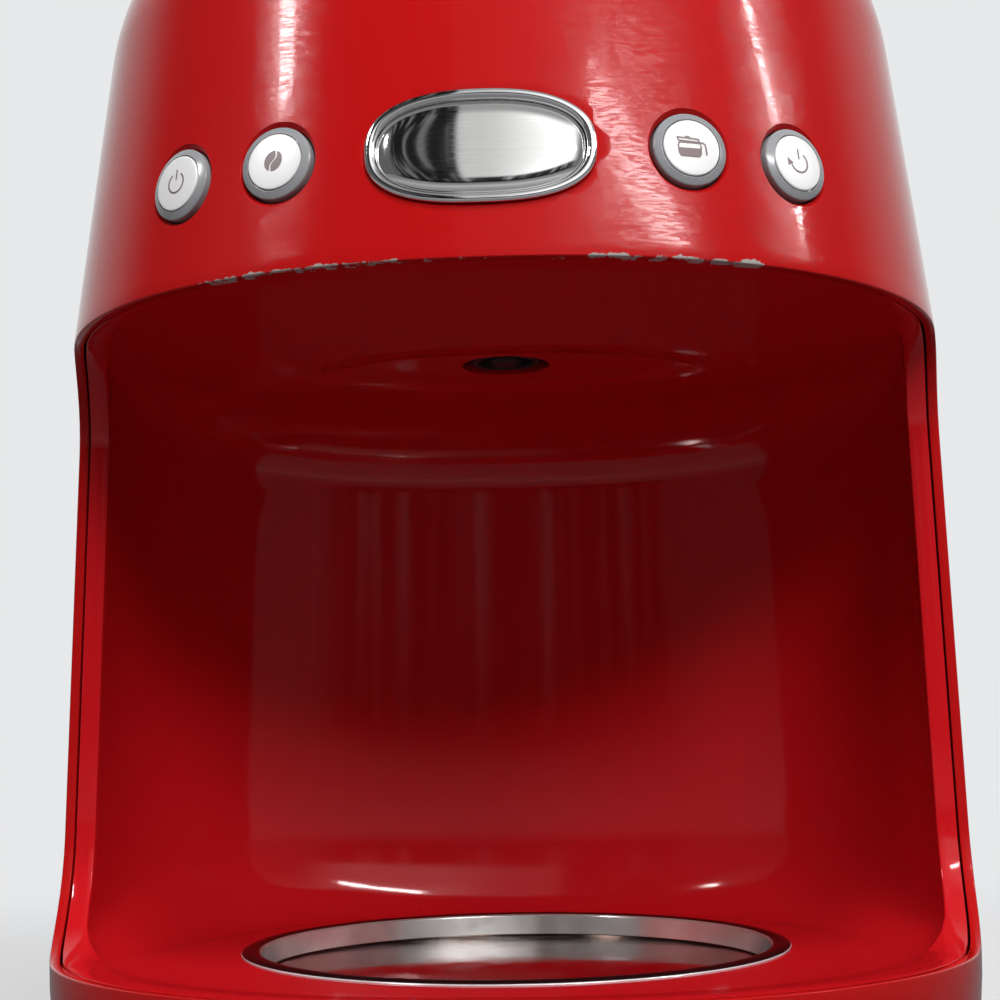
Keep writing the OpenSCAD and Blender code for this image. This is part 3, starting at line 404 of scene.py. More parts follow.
neck_rows = [*corner_rows(RIM_Z, LOW_ROUND, 0, pi / 2),
             *((z, -BAY_FRONT) for z in steps_of(RIM_Z + LOW_ROUND, HEAD_Z - HIGH_ROUND, 16)),
             *corner_rows(HEAD_Z, -HIGH_ROUND, pi / 2, 0)]
base_rows = [(RIM_Z + (SKIRT_Z - RIM_Z) * cos(a), -BAY_FRONT - LOW_ROUND)
             for a in [0] + steps_of(0, pi / 2, 12)]
head_rows = [(z, -BAY_FRONT - HIGH_ROUND) for z in
             steps_of(HEAD_Z, SHOULDER_Z, 22) + steps_of(SHOULDER_Z, SPLIT_Z, 6)]
shell_rows = base_rows + neck_rows + head_rows
print("rows:", len(base_rows), len(neck_rows), len(head_rows), "columns:", COLUMNS)


def column_angle(column, edge_y, depth):
    """Angle of a column when the rear part starts at edge_y."""
    share = (max(0, -edge_y) / depth) ** (POWER / 2)
    edge = acos(-min(1, share))
    if column <= REAR:
        return edge * column / REAR
    if column >= REAR + FRONT:
        return tau - edge * (COLUMNS - column) / REAR
    return edge + (tau - 2 * edge) * (column - REAR) / FRONT


def in_bay(column, row):
    """True for the faces that the bay leaves out of the shell."""
    first = len(base_rows) - 1
    return REAR <= column < REAR + FRONT and first <= row < first + len(neck_rows)


# %% [markdown]
# ## The outer shell
# The shell is a painted moulding. It is one wrapped sheet, given its wall inwards: 2.7 mm here, a
# little less than the fixed model's, so that it stays inside that wall. The edge round the bay is
# rolled over, with a wide radius outside and a small one inside, which is what draws the long soft
# highlight along the head's lower edge.

# %% Places and edges of the shell
def shell_point(column, row):
    """Place of a shell vertex."""
    z, edge_y = shell_rows[row]
    x, y = on_ring(column_angle(column, edge_y, half_d(z)), half_w(z), half_d(z), half_d(z))
    return x, y, z


def corner_at(z):
    """Radius and centre height of the C's corner at a height. Its straight back has no radius."""
    if z < RIM_Z + LOW_ROUND:
        return LOW_ROUND, RIM_Z + LOW_ROUND
    if z > HEAD_Z - HIGH_ROUND:
        return HIGH_ROUND, HEAD_Z - HIGH_ROUND
    return 0, z


def on_bay_edge(vert, margin=1.2):
    """True if a vertex lies on the C-shaped edge, within a margin in millimetres."""
    y, z = vert.co.y / MM, vert.co.z / MM
    if y > -BAY_FRONT + margin:
        return False
    if abs(z - RIM_Z) < margin or abs(z - HEAD_Z) < margin:
        return True
    radius, middle = corner_at(z)
    return RIM_Z < z < HEAD_Z and abs(hypot(y + BAY_FRONT + radius, z - middle) - radius) < margin


def outermost(edge):
    """True if the middle of an edge lies on the housing's outer face, and not inside it."""
    p = (edge.verts[0].co + edge.verts[1].co) / 2 / MM
    return (abs(p.x) / half_w(p.z)) ** POWER + (abs(p.y) / half_d(p.z)) ** POWER > 0.985


# %% Outer shell
EDGE_WALL, OUTER_ROUND, INNER_ROUND = 2.7, 2.2, 0.25
shell_sheet = wrapped_sheet(COLUMNS, len(shell_rows) - 1, shell_point, in_bay)
bmesh.ops.solidify(shell_sheet, geom=shell_sheet.faces, thickness=EDGE_WALL * MM)
for radius, outside in ((OUTER_ROUND, True), (INNER_ROUND, False)):
    edges = [e for e in shell_sheet.edges
             if folded(e, 0.9) and all(map(on_bay_edge, e.verts)) and outermost(e) == outside]
    bevelled(shell_sheet, edges, radius, 4, clamp=True)
    print("rounded edges:", len(edges), "radius", radius, "mm")
bmesh.ops.recalc_face_normals(shell_sheet, faces=shell_sheet.faces)
shell = finish_piece("painted_shell", shell_sheet, "housing", ["outer_shell"])

# %% [markdown]
# ## Openings in the shell
# The buttons, the display, the level window and the cord's bush each need an opening with a soft
# lip. A turned cutter with a flared mouth makes the hole and rounds its edge in one boolean cut.

# %% Button and display openings
CONTROL_Z = 251
BUTTON_XS = (-75.8, -49.4, 49.4, 75.8)
BEZEL_W, BEZEL_H, BEZEL_POWER = 55, 29, 2.5
BUTTON_HOLE, BUTTON_LIP, BUSH_HOLE, BUSH_LIP = 9.6, 1.4, 7.7, 0.6


def flared_plug(radius, flare, low, high):
    """A turned plug whose mouth widens like a countersink with a soft lip."""
    lip = [(radius + flare * out, flare * up) for out, up in (
        (0, -1.2), (0.06, -0.9), (0.25, -0.62), (0.55, -0.34), (0.80, -0.16), (0.92, -0.04),
        (1, 0.1))]
    return spun([(0, low), (radius, low), *lip, (radius + flare, high), (0, high)], 96)


def oval_rings(rings, curve, sides=96, close=True):
    """Stacked ovals, each given as (inset, height), on a drum of the given radius."""
    def place(column, row):
        inset, height = rings[row]
        angle = tau * column / sides
        x = (BEZEL_W / 2 - inset) * spow(cos(angle), 2 / BEZEL_POWER)
        y = (BEZEL_H / 2 - inset) * spow(sin(angle), 2 / BEZEL_POWER)
        return x, y, height + sqrt(curve * curve - x * x) - curve
    bm = wrapped_sheet(sides, len(rings) - 1, place)
    if close:
        bmesh.ops.holes_fill(bm, edges=[e for e in bm.edges if e.is_boundary], sides=0)
        bmesh.ops.recalc_face_normals(bm, faces=bm.faces)
    return bm


sag = face_y(0, CONTROL_Z) - face_y(BEZEL_W / 2, CONTROL_Z)
DRUM = (BEZEL_W ** 2 / 4 + sag * sag) / (2 * sag)
oval_plug = oval_rings([(1.0, -10), (1.0, -1.4), (0.8, -0.8), (0.2, -0.2), (-0.9, 0.3), (-2.2, 0.6),
                        (-2.2, 8)], DRUM)
plugs = [moved(flared_plug(BUTTON_HOLE, BUTTON_LIP, -14, 6), on_front(x, CONTROL_Z))
         for x in BUTTON_XS]
plugs.append(moved(oval_plug, on_front(0, CONTROL_Z)))
print("display drum radius:", round(DRUM, 1), "mm")


# %% Openings at the back
def box_cutter(low, high):
    """A closed box between two corners, in millimetres."""
    bm = bmesh.new()
    bmesh.ops.create_cube(bm, size=1)
    middle = (Vector(low) + Vector(high)) / 2 * MM
    bmesh.ops.scale(bm, vec=(Vector(high) - Vector(low)) * MM, verts=bm.verts)
    bmesh.ops.translate(bm, vec=middle, verts=bm.verts)
    return bm


def on_back(x, z):
    """Matrix whose +Z leaves the back face at x and z, with +Y up the face."""
    return Matrix.Rotation(pi, 4, "Z") @ on_front(-x, z)


def slots(xs, near, low, high):
    """Boxes that open the back at each x, from a depth outwards and between two heights."""
    return [box_cutter((x - SLOT / 2, near, low), (x + SLOT / 2, DEPTH / 2 + 2.5, high))
            for x in xs]


SLOT, HINGE_XS, ARM_XS = 9.6, (-24, 24), (-33.3, 33.3)
WINDOW_W, WINDOW_H, WINDOW_AT, BUSH_AT = 10, 120, (-40, 150), (66, 26)
window_cut = box_cutter((-WINDOW_W / 2, -WINDOW_H / 2, -12), (WINDOW_W / 2, WINDOW_H / 2, 12))
upright = [e for e in window_cut.edges if abs(e.verts[0].co.z - e.verts[1].co.z) > 0.001]
bevelled(window_cut, upright, WINDOW_W / 2 - 0.01, 10)
moved(window_cut, on_back(*WINDOW_AT))
bush_cut = moved(flared_plug(BUSH_HOLE, BUSH_LIP, -12, 6), on_back(*BUSH_AT))
cut(shell, *plugs, window_cut, bush_cut, *slots(HINGE_XS, near=90, low=315, high=330))

# %% [markdown]
# ## The bay's moulding
# A separate moulding lines the bay. From the hole of the hot plate its floor runs out nearly flat,
# rises to the rim, climbs the curved wall, turns over into the ceiling and ends at the drip outlet,
# in the middle of a shallow oval dish. All of that is one wrapped sheet. The edge of the bay is
# then extruded outwards for the flat rim and inwards for the return that makes the seam deep and
# dark.

# %% Walls of the bay
PLATE_HOLE, OUTLET_R, DISH_L, DISH_W, DISH_SHIFT = 73.4, 13.2, 115, 49, 4
FLOOR_RISE, BACK_RISE, BAY_ROUND, FLOOR_ROUND, SIDE_ROUND = 25, 8, 25, 12, 3
FLOOR_GROWTH, SIDE_GROWTH = 14, 16


def bay_ring(angle, z, inset, back_loss):
    """Point of the bay's wall at a height, with what the rounded corners take away."""
    inset += BAY_INSET
    return Vector((*on_ring(angle, half_w(z) - inset, half_d(z) - inset, BAY_BACK - back_loss), z))


def wall_loss(z, column):
    """What the rounded floor and ceiling take from the sides and the back, at a height and a
    column. The roundings are small at the rim and grow towards the back."""
    inward = min(1, max(0, REAR - min(column, COLUMNS - column)) / (0.4 * REAR))
    inward = inward * inward * (3 - 2 * inward)
    low = FLOOR_ROUND + FLOOR_GROWTH * inward
    high = SIDE_ROUND + SIDE_GROWTH * inward
    rise = min(1, (z - FLOOR_Z) / (RIM_Z - FLOOR_Z))
    side = low * quarter(max(0, 1 - (z - FLOOR_Z) / low))
    side += max(0, FLOOR_RISE - low) * (1 - sqrt(max(0, rise))) ** 2
    side += high * quarter(max(0, 1 - (HEAD_Z - z) / high))
    rear = BACK_RISE * quarter(max(0, 1 - (z - FLOOR_Z) / BAY_ROUND))
    rear += BAY_ROUND * quarter(max(0, 1 - (HEAD_Z - z) / BAY_ROUND))
    return side, rear


# %% Rows of the moulding
sections = {"floor": [i / 5 for i in range(6)],
            "rise": steps_of(0, 1, 9),
            "wall": neck_rows[:-1] + [(HEAD_Z - 1e-6, neck_rows[-1][1])],
            "ceiling": steps_of(0, 1, 6),
            "dish": [(1.0, 0.0), (0.985, 0.12), (0.95, 0.55), (0.90, 0.88), (0.84, 1.0)],
            "hole": [(0.5, 1.0), (1.0, 1.0), (1.0, 4.5)]}
liner_rows = [(section, step) for section, steps in sections.items() for step in steps]


def brew_ring(angle, radius, z):
    """Point on a circle round the upright axis of the plate and the outlet."""
    return Vector((radius * sin(angle), BREW_Y + radius * cos(angle), z))


def dish_point(angle, scale, lift):
    """Point on the oval dish round the outlet."""
    return Vector((DISH_L / 2 * scale * sin(angle),
                   BREW_Y + DISH_SHIFT + DISH_W / 2 * scale * cos(angle), HEAD_Z + lift))


def liner_point(column, row):
    """Place of a vertex of the moulding."""
    section, step = liner_rows[row]
    low_angle = column_angle(column, -BAY_FRONT - LOW_ROUND, half_d(RIM_Z) - BAY_INSET)
    high_angle = column_angle(column, -BAY_FRONT - HIGH_ROUND,
                              half_d(HEAD_Z) - BAY_INSET - SIDE_ROUND)
    if section == "floor":
        edge = bay_ring(low_angle, FLOOR_Z, *wall_loss(FLOOR_Z, column))
        return brew_ring(low_angle, PLATE_HOLE, FLOOR_Z).lerp(edge, step)
    if section == "rise":
        z = FLOOR_Z + (RIM_Z - FLOOR_Z) * step ** 2
        return bay_ring(low_angle, z, *wall_loss(z, column))
    if section == "wall":
        z, edge_y = step
        side, rear = wall_loss(z, column)
        return bay_ring(column_angle(column, edge_y, half_d(z) - BAY_INSET - side), z, side, rear)
    if section == "ceiling":
        edge = bay_ring(high_angle, HEAD_Z, *wall_loss(HEAD_Z, column))
        return edge.lerp(dish_point(high_angle, 1.0, 0), step)
    if section == "dish":
        return dish_point(high_angle, *step)
    share, lift = step
    inner = brew_ring(high_angle, OUTLET_R, HEAD_Z + lift)
    return dish_point(high_angle, *sections["dish"][-1]).lerp(inner, share)


def liner_open(column, row):
    """True for the faces that the bay leaves out of the moulding."""
    return REAR <= column < REAR + FRONT and liner_rows[row + 1][0] == "wall"


print("rows of the moulding:", len(liner_rows))


# %% Rim of the moulding
def to_rim(point, inset):
    """Moves a point of the bay's edge sideways until it lies at an inset from the outer face."""
    p = point / MM
    w, d = half_w(p.z) - inset, half_d(p.z) - inset
    if RIM_Z + 0.5 < p.z < HEAD_Z - 0.5:
        x = w * (1 - (abs(p.y) / d) ** POWER) ** (1 / POWER)
        return Vector((copysign(x, p.x), p.y, p.z)) * MM
    size = ((abs(p.x) / w) ** POWER + (abs(p.y) / d) ** POWER) ** (1 / POWER)
    return Vector((p.x / size, p.y / size, p.z)) * MM


def edge_normal(point):
    """Direction from the bay's edge into the wall behind it."""
    p = point / MM
    radius, middle = corner_at(p.z)
    if not radius:
        return Vector((0, 1, 0))
    return Vector((0, max(0, p.y + BAY_FRONT + radius), p.z - middle)).normalized()


def extrude_edge(sheet, inset, depth):
    """Extrudes the bay's open edge to an inset from the outer face and to a depth in the wall."""
    edges = [e for e in sheet.edges if e.is_boundary and all(map(on_bay_edge, e.verts))]
    for made in bmesh.ops.extrude_edge_only(sheet, edges=edges)["geom"]:
        if isinstance(made, bmesh.types.BMVert):
            point = made.co.copy()
            made.co = to_rim(point, inset) + edge_normal(point) * depth * MM


# %% Bay moulding
OUT = EDGE_WALL + 0.45
liner_sheet = wrapped_sheet(COLUMNS, len(liner_rows) - 1, liner_point, liner_open)
for inset, depth in ((OUT + 0.7, 0), (OUT + 0.2, 0.12), (OUT, 0.5), (OUT, 3.5)):
    extrude_edge(liner_sheet, inset, depth)
inner_edge = [e for e in liner_sheet.edges
              if folded(e, 0.7) and all(on_bay_edge(v, 0.05) for v in e.verts)]
bevelled(liner_sheet, inner_edge, 0.45, 3, clamp=True)
print("rounded rim edges:", len(inner_edge))
bmesh.ops.recalc_face_normals(liner_sheet, faces=liner_sheet.faces)
liner = finish_piece("bay_moulding", liner_sheet, "housing", ["bay_liner"], smooth=50)
wall = liner.modifiers.new("wall", "SOLIDIFY")
wall.thickness = 1.6 * MM
wall.offset = -1

# %% [markdown]
# ## The lid
# The lid is the top of the same dome, parted from the shell by a thin gap. It is a wrapped sheet
# whose rows climb the shoulder and close over the shallow crown.

# %% Lid
LID_Z, LID_COLUMNS, LID_WALL = SPLIT_Z + 0.4, 144, 3.2
dome_rows = [LID_Z + (TOP_Z - LID_Z) * sin(a) for a in [0] + steps_of(0, pi / 2 * 0.995, 16)]
crown_rows = [(TOP_Z + CROWN * s, sqrt(1 - s)) for s in steps_of(0, 1, 10)]


def lid_point(column, row):
    """Place of a vertex of the lid."""
    if row < len(dome_rows):
        z = dome_rows[row]
        w = half_w(z)
    else:
        z, share = crown_rows[row - len(dome_rows)]
        w = half_w(TOP_Z - 0.1) * share
    d = w * DEPTH / WIDTH
    return *on_ring(tau * column / LID_COLUMNS, w, d, d), z


lid_sheet = wrapped_sheet(LID_COLUMNS, len(dome_rows) + len(crown_rows) - 1, lid_point)
bmesh.ops.recalc_face_normals(lid_sheet, faces=lid_sheet.faces)
bmesh.ops.solidify(lid_sheet, geom=lid_sheet.faces, thickness=LID_WALL * MM)
lip = [e for e in lid_sheet.edges
       if folded(e, 0.9) and all(v.co.z < (LID_Z + 0.5) * MM for v in e.verts)]
bevelled(lid_sheet, lip, 0.5, 3)
lid = finish_piece("painted_lid", lid_sheet, "lid_body", ["lid"])
cut(lid, *slots(ARM_XS, near=85, low=320, high=328.7), *slots(HINGE_XS, near=99, low=320, high=332))

# %% [markdown]
# ## The hot plate's ring
# A polished steel pressing frames the hot plate. Its flange is a low round bead, so the far side
# turns towards the viewer and mirrors the dark ceiling of the bay, while the near side is seen
# edge-on as one bright line. The finish adds a painted dark reflection on the bead and a painted
# highlight line along its outer rim. Inside the bead a plain wall drops to the plate, with painted
# shade in the gap at its foot.

# %% Steel ring and plate
RING_R, RING_TOP, PLATE_TOP, BEAD_H, STUD_R, STUD_END = 78.5, 54.8, 47.8, 1.0, 2, 24.6
WALL_R = RING_R - 5.8
PLATE_R, PLATE_UNDER = WALL_R - 0.8, PLATE_TOP - 1.2
BEAD_R, BEAD_W = (RING_R + WALL_R) / 2, (RING_R - WALL_R) / 2
flange = [(BEAD_R + BEAD_W * cos(t), RING_TOP + BEAD_H * (sin(t) - 1))
          for t in (pi * i / 16 for i in range(17))]
ring_profile = flange + [(WALL_R, PLATE_TOP + 0.5), (WALL_R - 0.35, PLATE_TOP - 0.6),
                         (WALL_R - 1.0, PLATE_TOP - 0.9)]
ring = finish_piece("steel_ring", spun(ring_profile, 160, (0, BREW_Y)), "housing", ["warmer_ring"],
                    smooth=60)
skin = ring.modifiers.new("gauge", "SOLIDIFY")
skin.thickness = 0.5 * MM
plate_profile = [(0, PLATE_TOP)] \
    + rounded((PLATE_R, PLATE_TOP), 0.4, (0, PLATE_TOP), (PLATE_R, PLATE_TOP - 1)) \
    + [(PLATE_R, PLATE_UNDER), (STUD_R, PLATE_UNDER), (STUD_R, STUD_END + 0.3),
       (STUD_R - 0.3, STUD_END), (0, STUD_END)]
finish_piece("steel_plate", spun(plate_profile, 160, (0, BREW_Y)), "housing", ["hot_plate"],
             smooth=50)

# %% [markdown]
# ## The drip valve's spring
# When the jug's lid lifts the plunger, it presses the spring together. The spring is drawn as long
# as it is then, hanging from the cap, so the plunger has room to rise. A circle is spun along a
# screw line.

# %% Valve spring
VALVE_LIFT, WIRE, COIL_R, TURNS, STEPS = 4, 0.4, 3.6, 4, 96
low, high = (Vector(corner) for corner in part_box("valve_spring"))
foot = low.z + VALVE_LIFT * MM + WIRE * MM
rise = high.z - WIRE * MM - foot
coil = bmesh.new()
start = Matrix.Translation((COIL_R * MM, 0, foot)) @ Matrix.Rotation(pi / 2, 4, "X")
bmesh.ops.create_circle(coil, cap_ends=True, segments=10, radius=WIRE * MM, matrix=start)
bmesh.ops.spin(coil, geom=[*coil.verts, *coil.edges, *coil.faces], cent=(0, 0, 0), axis=(0, 0, 1),
               dvec=(0, 0, rise / STEPS), angle=tau * TURNS, steps=STEPS)
bmesh.ops.recalc_face_normals(coil, faces=coil.faces)
bmesh.ops.translate(coil, verts=coil.verts, vec=(0, BREW_Y * MM, 0))
finish_piece("coiled_spring", coil, "housing", ["valve_spring"], smooth=60)

# %% [markdown]
# ## The display
# A polished oval bezel frames a convex, silvered window. Both curve round the face as a drum does.
# The bezel is a stack of ovals that rise over its rounded ring, and the window bulges from its
# edge.

# %% Bezel and window
bezel_rows = [(1.6, -4.4), (1.5, -0.4), (0.02, 0.5), (0.0, 0.75), (0.15, 1.15), (0.55, 1.42),
              (1.1, 1.5), (1.65, 1.42), (2.1, 1.12), (2.4, 0.6), (2.4, -2.2)]
bezel_sheet = moved(oval_rings(bezel_rows, DRUM, 128, close=False), on_front(0, CONTROL_Z))
finish_piece("display_ring", bezel_sheet, "housing", ["display_bezel"], smooth=60)
LENS_INSET, LENS_EDGE, LENS_BULGE = 2.7, -0.2, 1.6
lens_rows = [(LENS_INSET, -2.0), (LENS_INSET, LENS_EDGE)]
lens_rows += [(LENS_INSET + (BEZEL_H / 2 - LENS_INSET) * s,
               LENS_EDGE + LENS_BULGE * (1 - (1 - s) ** 5)) for s in steps_of(0, 1, 22)]
lens_sheet = moved(oval_rings(lens_rows, DRUM * 1.1, 128), on_front(0, CONTROL_Z))
finish_piece("display_window", lens_sheet, "housing", ["display_lens"], smooth=60)

# %% [markdown]
# ## The buttons
# Each button is a grey cap with a rounded edge and a white disc let into its face. Between the two
# runs a fine groove. The caps and discs are turned from profiles and then set on the face.

# %% Caps and discs
CAP_R, DISC_R, GROOVE_R, STEM_R = 9.3, 7.15, 7.39, 2.5
PROUD, CAP_EDGE, CAP_BACK, STEM_END, DISC_EDGE, DISC_RISE = 1.2, 0.4, -8, -14, 0.22, 0.32


def crown(r):
    """Height of a disc's crowned face at a radius."""
    return PROUD + DISC_EDGE + DISC_RISE * (1 - (r / DISC_R) ** 2)


cap_profile = [(STEM_R, STEM_END), (STEM_R, CAP_BACK), (CAP_R, CAP_BACK)] \
    + rounded((CAP_R, CAP_EDGE), 0.4, (CAP_R, -1), (DISC_R, PROUD), 8) \
    + rounded((GROOVE_R, PROUD), 0.2, (CAP_R, CAP_EDGE), (GROOVE_R, 0), 4) \
    + [(GROOVE_R, PROUD - 1.2), (0, PROUD - 1.2)]
disc_profile = [(DISC_R - 0.1, PROUD - 1.1)] \
    + rounded((DISC_R - 0.02, PROUD + DISC_EDGE), 0.35, (DISC_R - 0.02, 0), (0, PROUD + 0.5), 4) \
    + [(r, crown(r)) for r in (6, 5, 4, 3, 2, 1, 0)]
skins = {"button": [], "disc": []}
for button, x in zip(("power", "aroma", "jug", "timer"), BUTTON_XS):
    for kind, profile, material in (("button", cap_profile, "grey_plastic"),
                                    ("disc", disc_profile, "white_plastic")):
        bm = moved(spun(profile, 72), on_front(x, CONTROL_Z))
        node = f"{button}_{kind}"
        skins[kind].append(node + "_skin")
        finish_piece(node + "_skin", bm, f"{button}_key", [node], smooth=50)

# %% [markdown]
# ## The signs on the buttons
# The discs carry plain printed signs: power, a coffee bean, a jug, and power with an arrow for the
# timer. Print is very thin, so each sign is a sheet lifted a few hundredths of a millimetre off the
# disc. Arcs and lines are flat bands along a row of points, and the solid shapes are filled
# outlines.


# %% Sign helpers
PRINT = 0.05


def band(points, width):
    """A flat band of a width along points, in millimetres."""
    bm = bmesh.new()
    rails = []
    for i, point in enumerate(points):
        before, after = Vector(points[max(0, i - 1)]), Vector(points[min(len(points) - 1, i + 1)])
        along = (after - before).normalized()
        off = Vector((-along.y, along.x)) * width / 2
        rails.append([bm.verts.new((*(Vector(point) + side), 0)) for side in (off, -off)])
    for a, b in zip(rails, rails[1:]):
        bm.faces.new((a[0], b[0], b[1], a[1]))
    return bm


def outline_face(points):
    """A filled flat outline."""
    bm = bmesh.new()
    bm.faces.new([bm.verts.new((x, y, 0)) for x, y in points])
    return bm


def arc(radius, start, end, count=40):
    """Points on an arc round the middle, with angles in degrees."""
    turns = [radians(start + (end - start) * i / count) for i in range(count + 1)]
    return [(radius * cos(t), radius * sin(t)) for t in turns]


def sign_piece(name, shapes, x, body):
    """Joins flat shapes, lays them on a disc's crowned face and sets them on the machine."""
    whole = bmesh.new()
    for shape in shapes:
        bmesh.ops.triangulate(shape, faces=shape.faces)
        part = bpy.data.meshes.new("shape")
        shape.to_mesh(part)
        shape.free()
        whole.from_mesh(part)
    long_edges = [e for e in whole.edges if e.calc_length() > 1.2]
    bmesh.ops.subdivide_edges(whole, edges=long_edges, cuts=3, use_grid_fill=True)
    bmesh.ops.triangulate(whole, faces=whole.faces)
    for vert in whole.verts:
        vert.co.z = crown(hypot(vert.co.x, vert.co.y)) + PRINT
        vert.co *= MM
    bmesh.ops.recalc_face_normals(whole, faces=whole.faces)
    for face in whole.faces:
        if face.normal.z < 0:
            face.normal_flip()
    return finish_piece(name, moved(whole, on_front(x, CONTROL_Z)), body, ())


# %% The four signs
RING, LINE = 2.6, 0.46


def bean_half(side):
    """One half of the bean, cut along its wavy crease."""
    heights = [2.62 - 5.24 * i / 28 for i in range(29)]
    crease = [(0.30 * sin(1.5 * y) + side * (0.12 + 0.02 * y * y), y) for y in heights]
    angles = [pi / 2 - side * pi * i / 28 for i in range(2, 27)]
    rim = [(2.35 * cos(t), 2.68 * sin(t)) for t in angles]
    return outline_face(crease + rim[::-1])


bean = [moved(bean_half(side), Matrix.Rotation(radians(-22), 4, "Z")) for side in (-1, 1)]
glass = [(-3.3, 1.05), (-3.55, 0.2), (-3.4, -1.7), (-3.0, -2.4), (1.7, -2.4), (2.1, -1.8),
         (2.25, 0.2), (2.0, 1.05)]
coffee = [(-3.5, -0.3), *glass[2:6], (2.2, -0.3)]
handle = [(2.0, 1.15), (2.9, 1.15), (3.35, 0.75), (3.5, 0.1), (3.6, -1.9)]
lid_lines = [([(-3.75, 2.3), (1.75, 2.05)], 0.42), ([(-3.5, 1.5), (1.9, 1.3)], 0.36),
             ([(1.75, 2.15), (1.85, 1.1)], 0.4), ([(-3.7, 2.35), (-3.35, 1.4)], 0.4),
             ([(-1.7, 2.5), (-0.5, 2.45)], 0.5)]
jug = [band(glass + [glass[0]], 0.42), outline_face(coffee), *[band(*line) for line in lid_lines],
       band(handle, 0.44)]
arrow = outline_face([(-3.7, 0.9), (-3.55, -1.35), (-1.85, -0.45)])
stem = [(0, 0.75), (0, 3.55)]
power = [band(arc(RING, 124, 416), LINE), band(stem, LINE)]
timer = [band(arc(RING, -160, 54), LINE), band(stem, LINE), arrow]
signs = [sign_piece(name, shapes, x, body) for name, shapes, x, body in zip(
    ("power_sign", "bean_sign", "jug_sign", "timer_sign"), (power, bean, jug, timer), BUTTON_XS,
    ("power_key", "aroma_key", "jug_key", "timer_key"))]
print("signs:", [s.name for s in signs])


# %% [markdown]
# ## Effects that several finishes share
# Real surfaces are never one flat value. Three small node groups give that life: fine scratches,
# soft blotches of wear, and specks. Each gives out a colour-free mask, which a finish then uses for
# its colour, its roughness or its bump. They read Object coordinates, so they stay put on each
# piece.

# %% Node group helper
def spot(tree):
    """The Object coordinates of a point."""
    return add_node(tree, "TexCoord").outputs["Object"]


def new_group(name, **inputs):
    """A shader node group with number inputs and a Mask output, its inputs and coordinates."""
    group = bpy.data.node_groups.new(name, "ShaderNodeTree")
    for label, value in inputs.items():
        socket = group.interface.new_socket(label, in_out="INPUT", socket_type="NodeSocketFloat")
        socket.default_value = value
    group.interface.new_socket("Mask", in_out="OUTPUT", socket_type="NodeSocketFloat")
    return group, group.nodes.new("NodeGroupInput").outputs, spot(group)


def give_mask(group, mask):
    """Makes a socket the group's Mask output."""
    group.links.new(mask, group.nodes.new("NodeGroupOutput").inputs["Mask"])


# %% Scratches, blotches and specks
scratches, ins, place = new_group("fine_scratches", Scale=60, Stretch=14, Cover=0.6)
stretch = add_node(scratches, "CombineXYZ", 1, 1, ins["Stretch"]).outputs[0]
drawn_out = add_node(scratches, "Mapping", Vector=place, Scale=stretch).outputs[0]
noise = add_node(scratches, "TexNoise", Vector=drawn_out, Scale=ins["Scale"], Detail=4,
                 Roughness=0.7)
give_mask(scratches, ramped(scratches, noise.outputs["Fac"], ins["Cover"], 0.86, way="LINEAR"))

blotches, ins, place = new_group("soft_blotches", Scale=12, Low=0.35, High=0.7)
noise = add_node(blotches, "TexNoise", Vector=place, Scale=ins["Scale"], Detail=5)
give_mask(blotches, ramped(blotches, noise.outputs["Fac"], ins["Low"], ins["High"]))

specks, ins, place = new_group("specks", Scale=220, Size=0.12)
cells = add_node(specks, "TexVoronoi", Vector=place, Scale=ins["Scale"])
give_mask(specks, ramped(specks, cells.outputs["Distance"], 0, ins["Size"], 1, 0, way="LINEAR"))
print("groups:", [g.name for g in bpy.data.node_groups])


# %% Finish helpers
def add_group(tree, group, **values):
    """Places a node group with its own values and returns its mask."""
    return add_node(tree, "Group", traits=[("node_tree", group)], **values).outputs["Mask"]


def tinted(tree, shader, mask, other, amount=1.0):
    """Mixes another colour into the base colour where a mask is high."""
    base = shader.inputs["Base Color"]
    under = base.links[0].from_socket if base.is_linked else base.default_value[:]
    mix = add_node(tree, "Mix", traits=[("data_type", "RGBA")], A=under, B=(*other, 1),
                   Factor=reckoned(tree, "MULTIPLY", mask, amount))
    tree.links.new(mix.outputs["Result"], base)


def roughened(tree, shader, mask, low, high, on="Roughness"):
    """Lets a mask move the roughness, or another input, between two values."""
    tree.links.new(ramped(tree, mask, 0, 1, low, high, way="LINEAR"), shader.inputs[on])


def bumped(tree, shader, mask, strength, distance=0.0001, on="Normal"):
    """Adds a bump from a mask, over any bump that is there."""
    bump = add_node(tree, "Bump", Height=mask, Strength=strength, Distance=distance)
    normal = shader.inputs[on]
    if normal.is_linked:
        tree.links.new(normal.links[0].from_socket, bump.inputs["Normal"])
    tree.links.new(bump.outputs[0], normal)


def finish(name, wearers, colour, roughness, *effects, **more):
    """Makes a material, gives it its effects in order, and dresses pieces or CAD nodes in it.
    Each effect is a function, the group that masks it, the group's values and its own values."""
    material = bpy.data.materials.new(name)
    material.use_nodes = True
    tree = material.node_tree
    shader = tree.nodes["Principled BSDF"]
    set_inputs(tree, shader, Base_Color=(*colour, 1), Roughness=roughness,
               **{"Coat Roughness": 0.03, "IOR": 1.5, **more})
    for effect, group, values, *own in effects:
        effect(tree, shader, add_group(tree, group, **values), *own)
    for wearer in wearers:
        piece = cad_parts.get(wearer) or bpy.data.objects[wearer]
        piece.data.materials.clear()
        piece.data.materials.append(material)
    return tree, shader


def level_reach(tree, centre_y=0):
    """Level distance from the upright axis at x = 0 and centre_y, in metres."""
    vector = spot(tree)
    for step, other in (("SUBTRACT", (0, centre_y, 0)), ("MULTIPLY", (1, 1, 0)),
                        ("LENGTH", (0, 0, 0))):
        node = add_node(tree, "VectorMath", vector, other, traits=[("operation", step)])
        vector = node.outputs[0]
    return node.outputs["Value"]


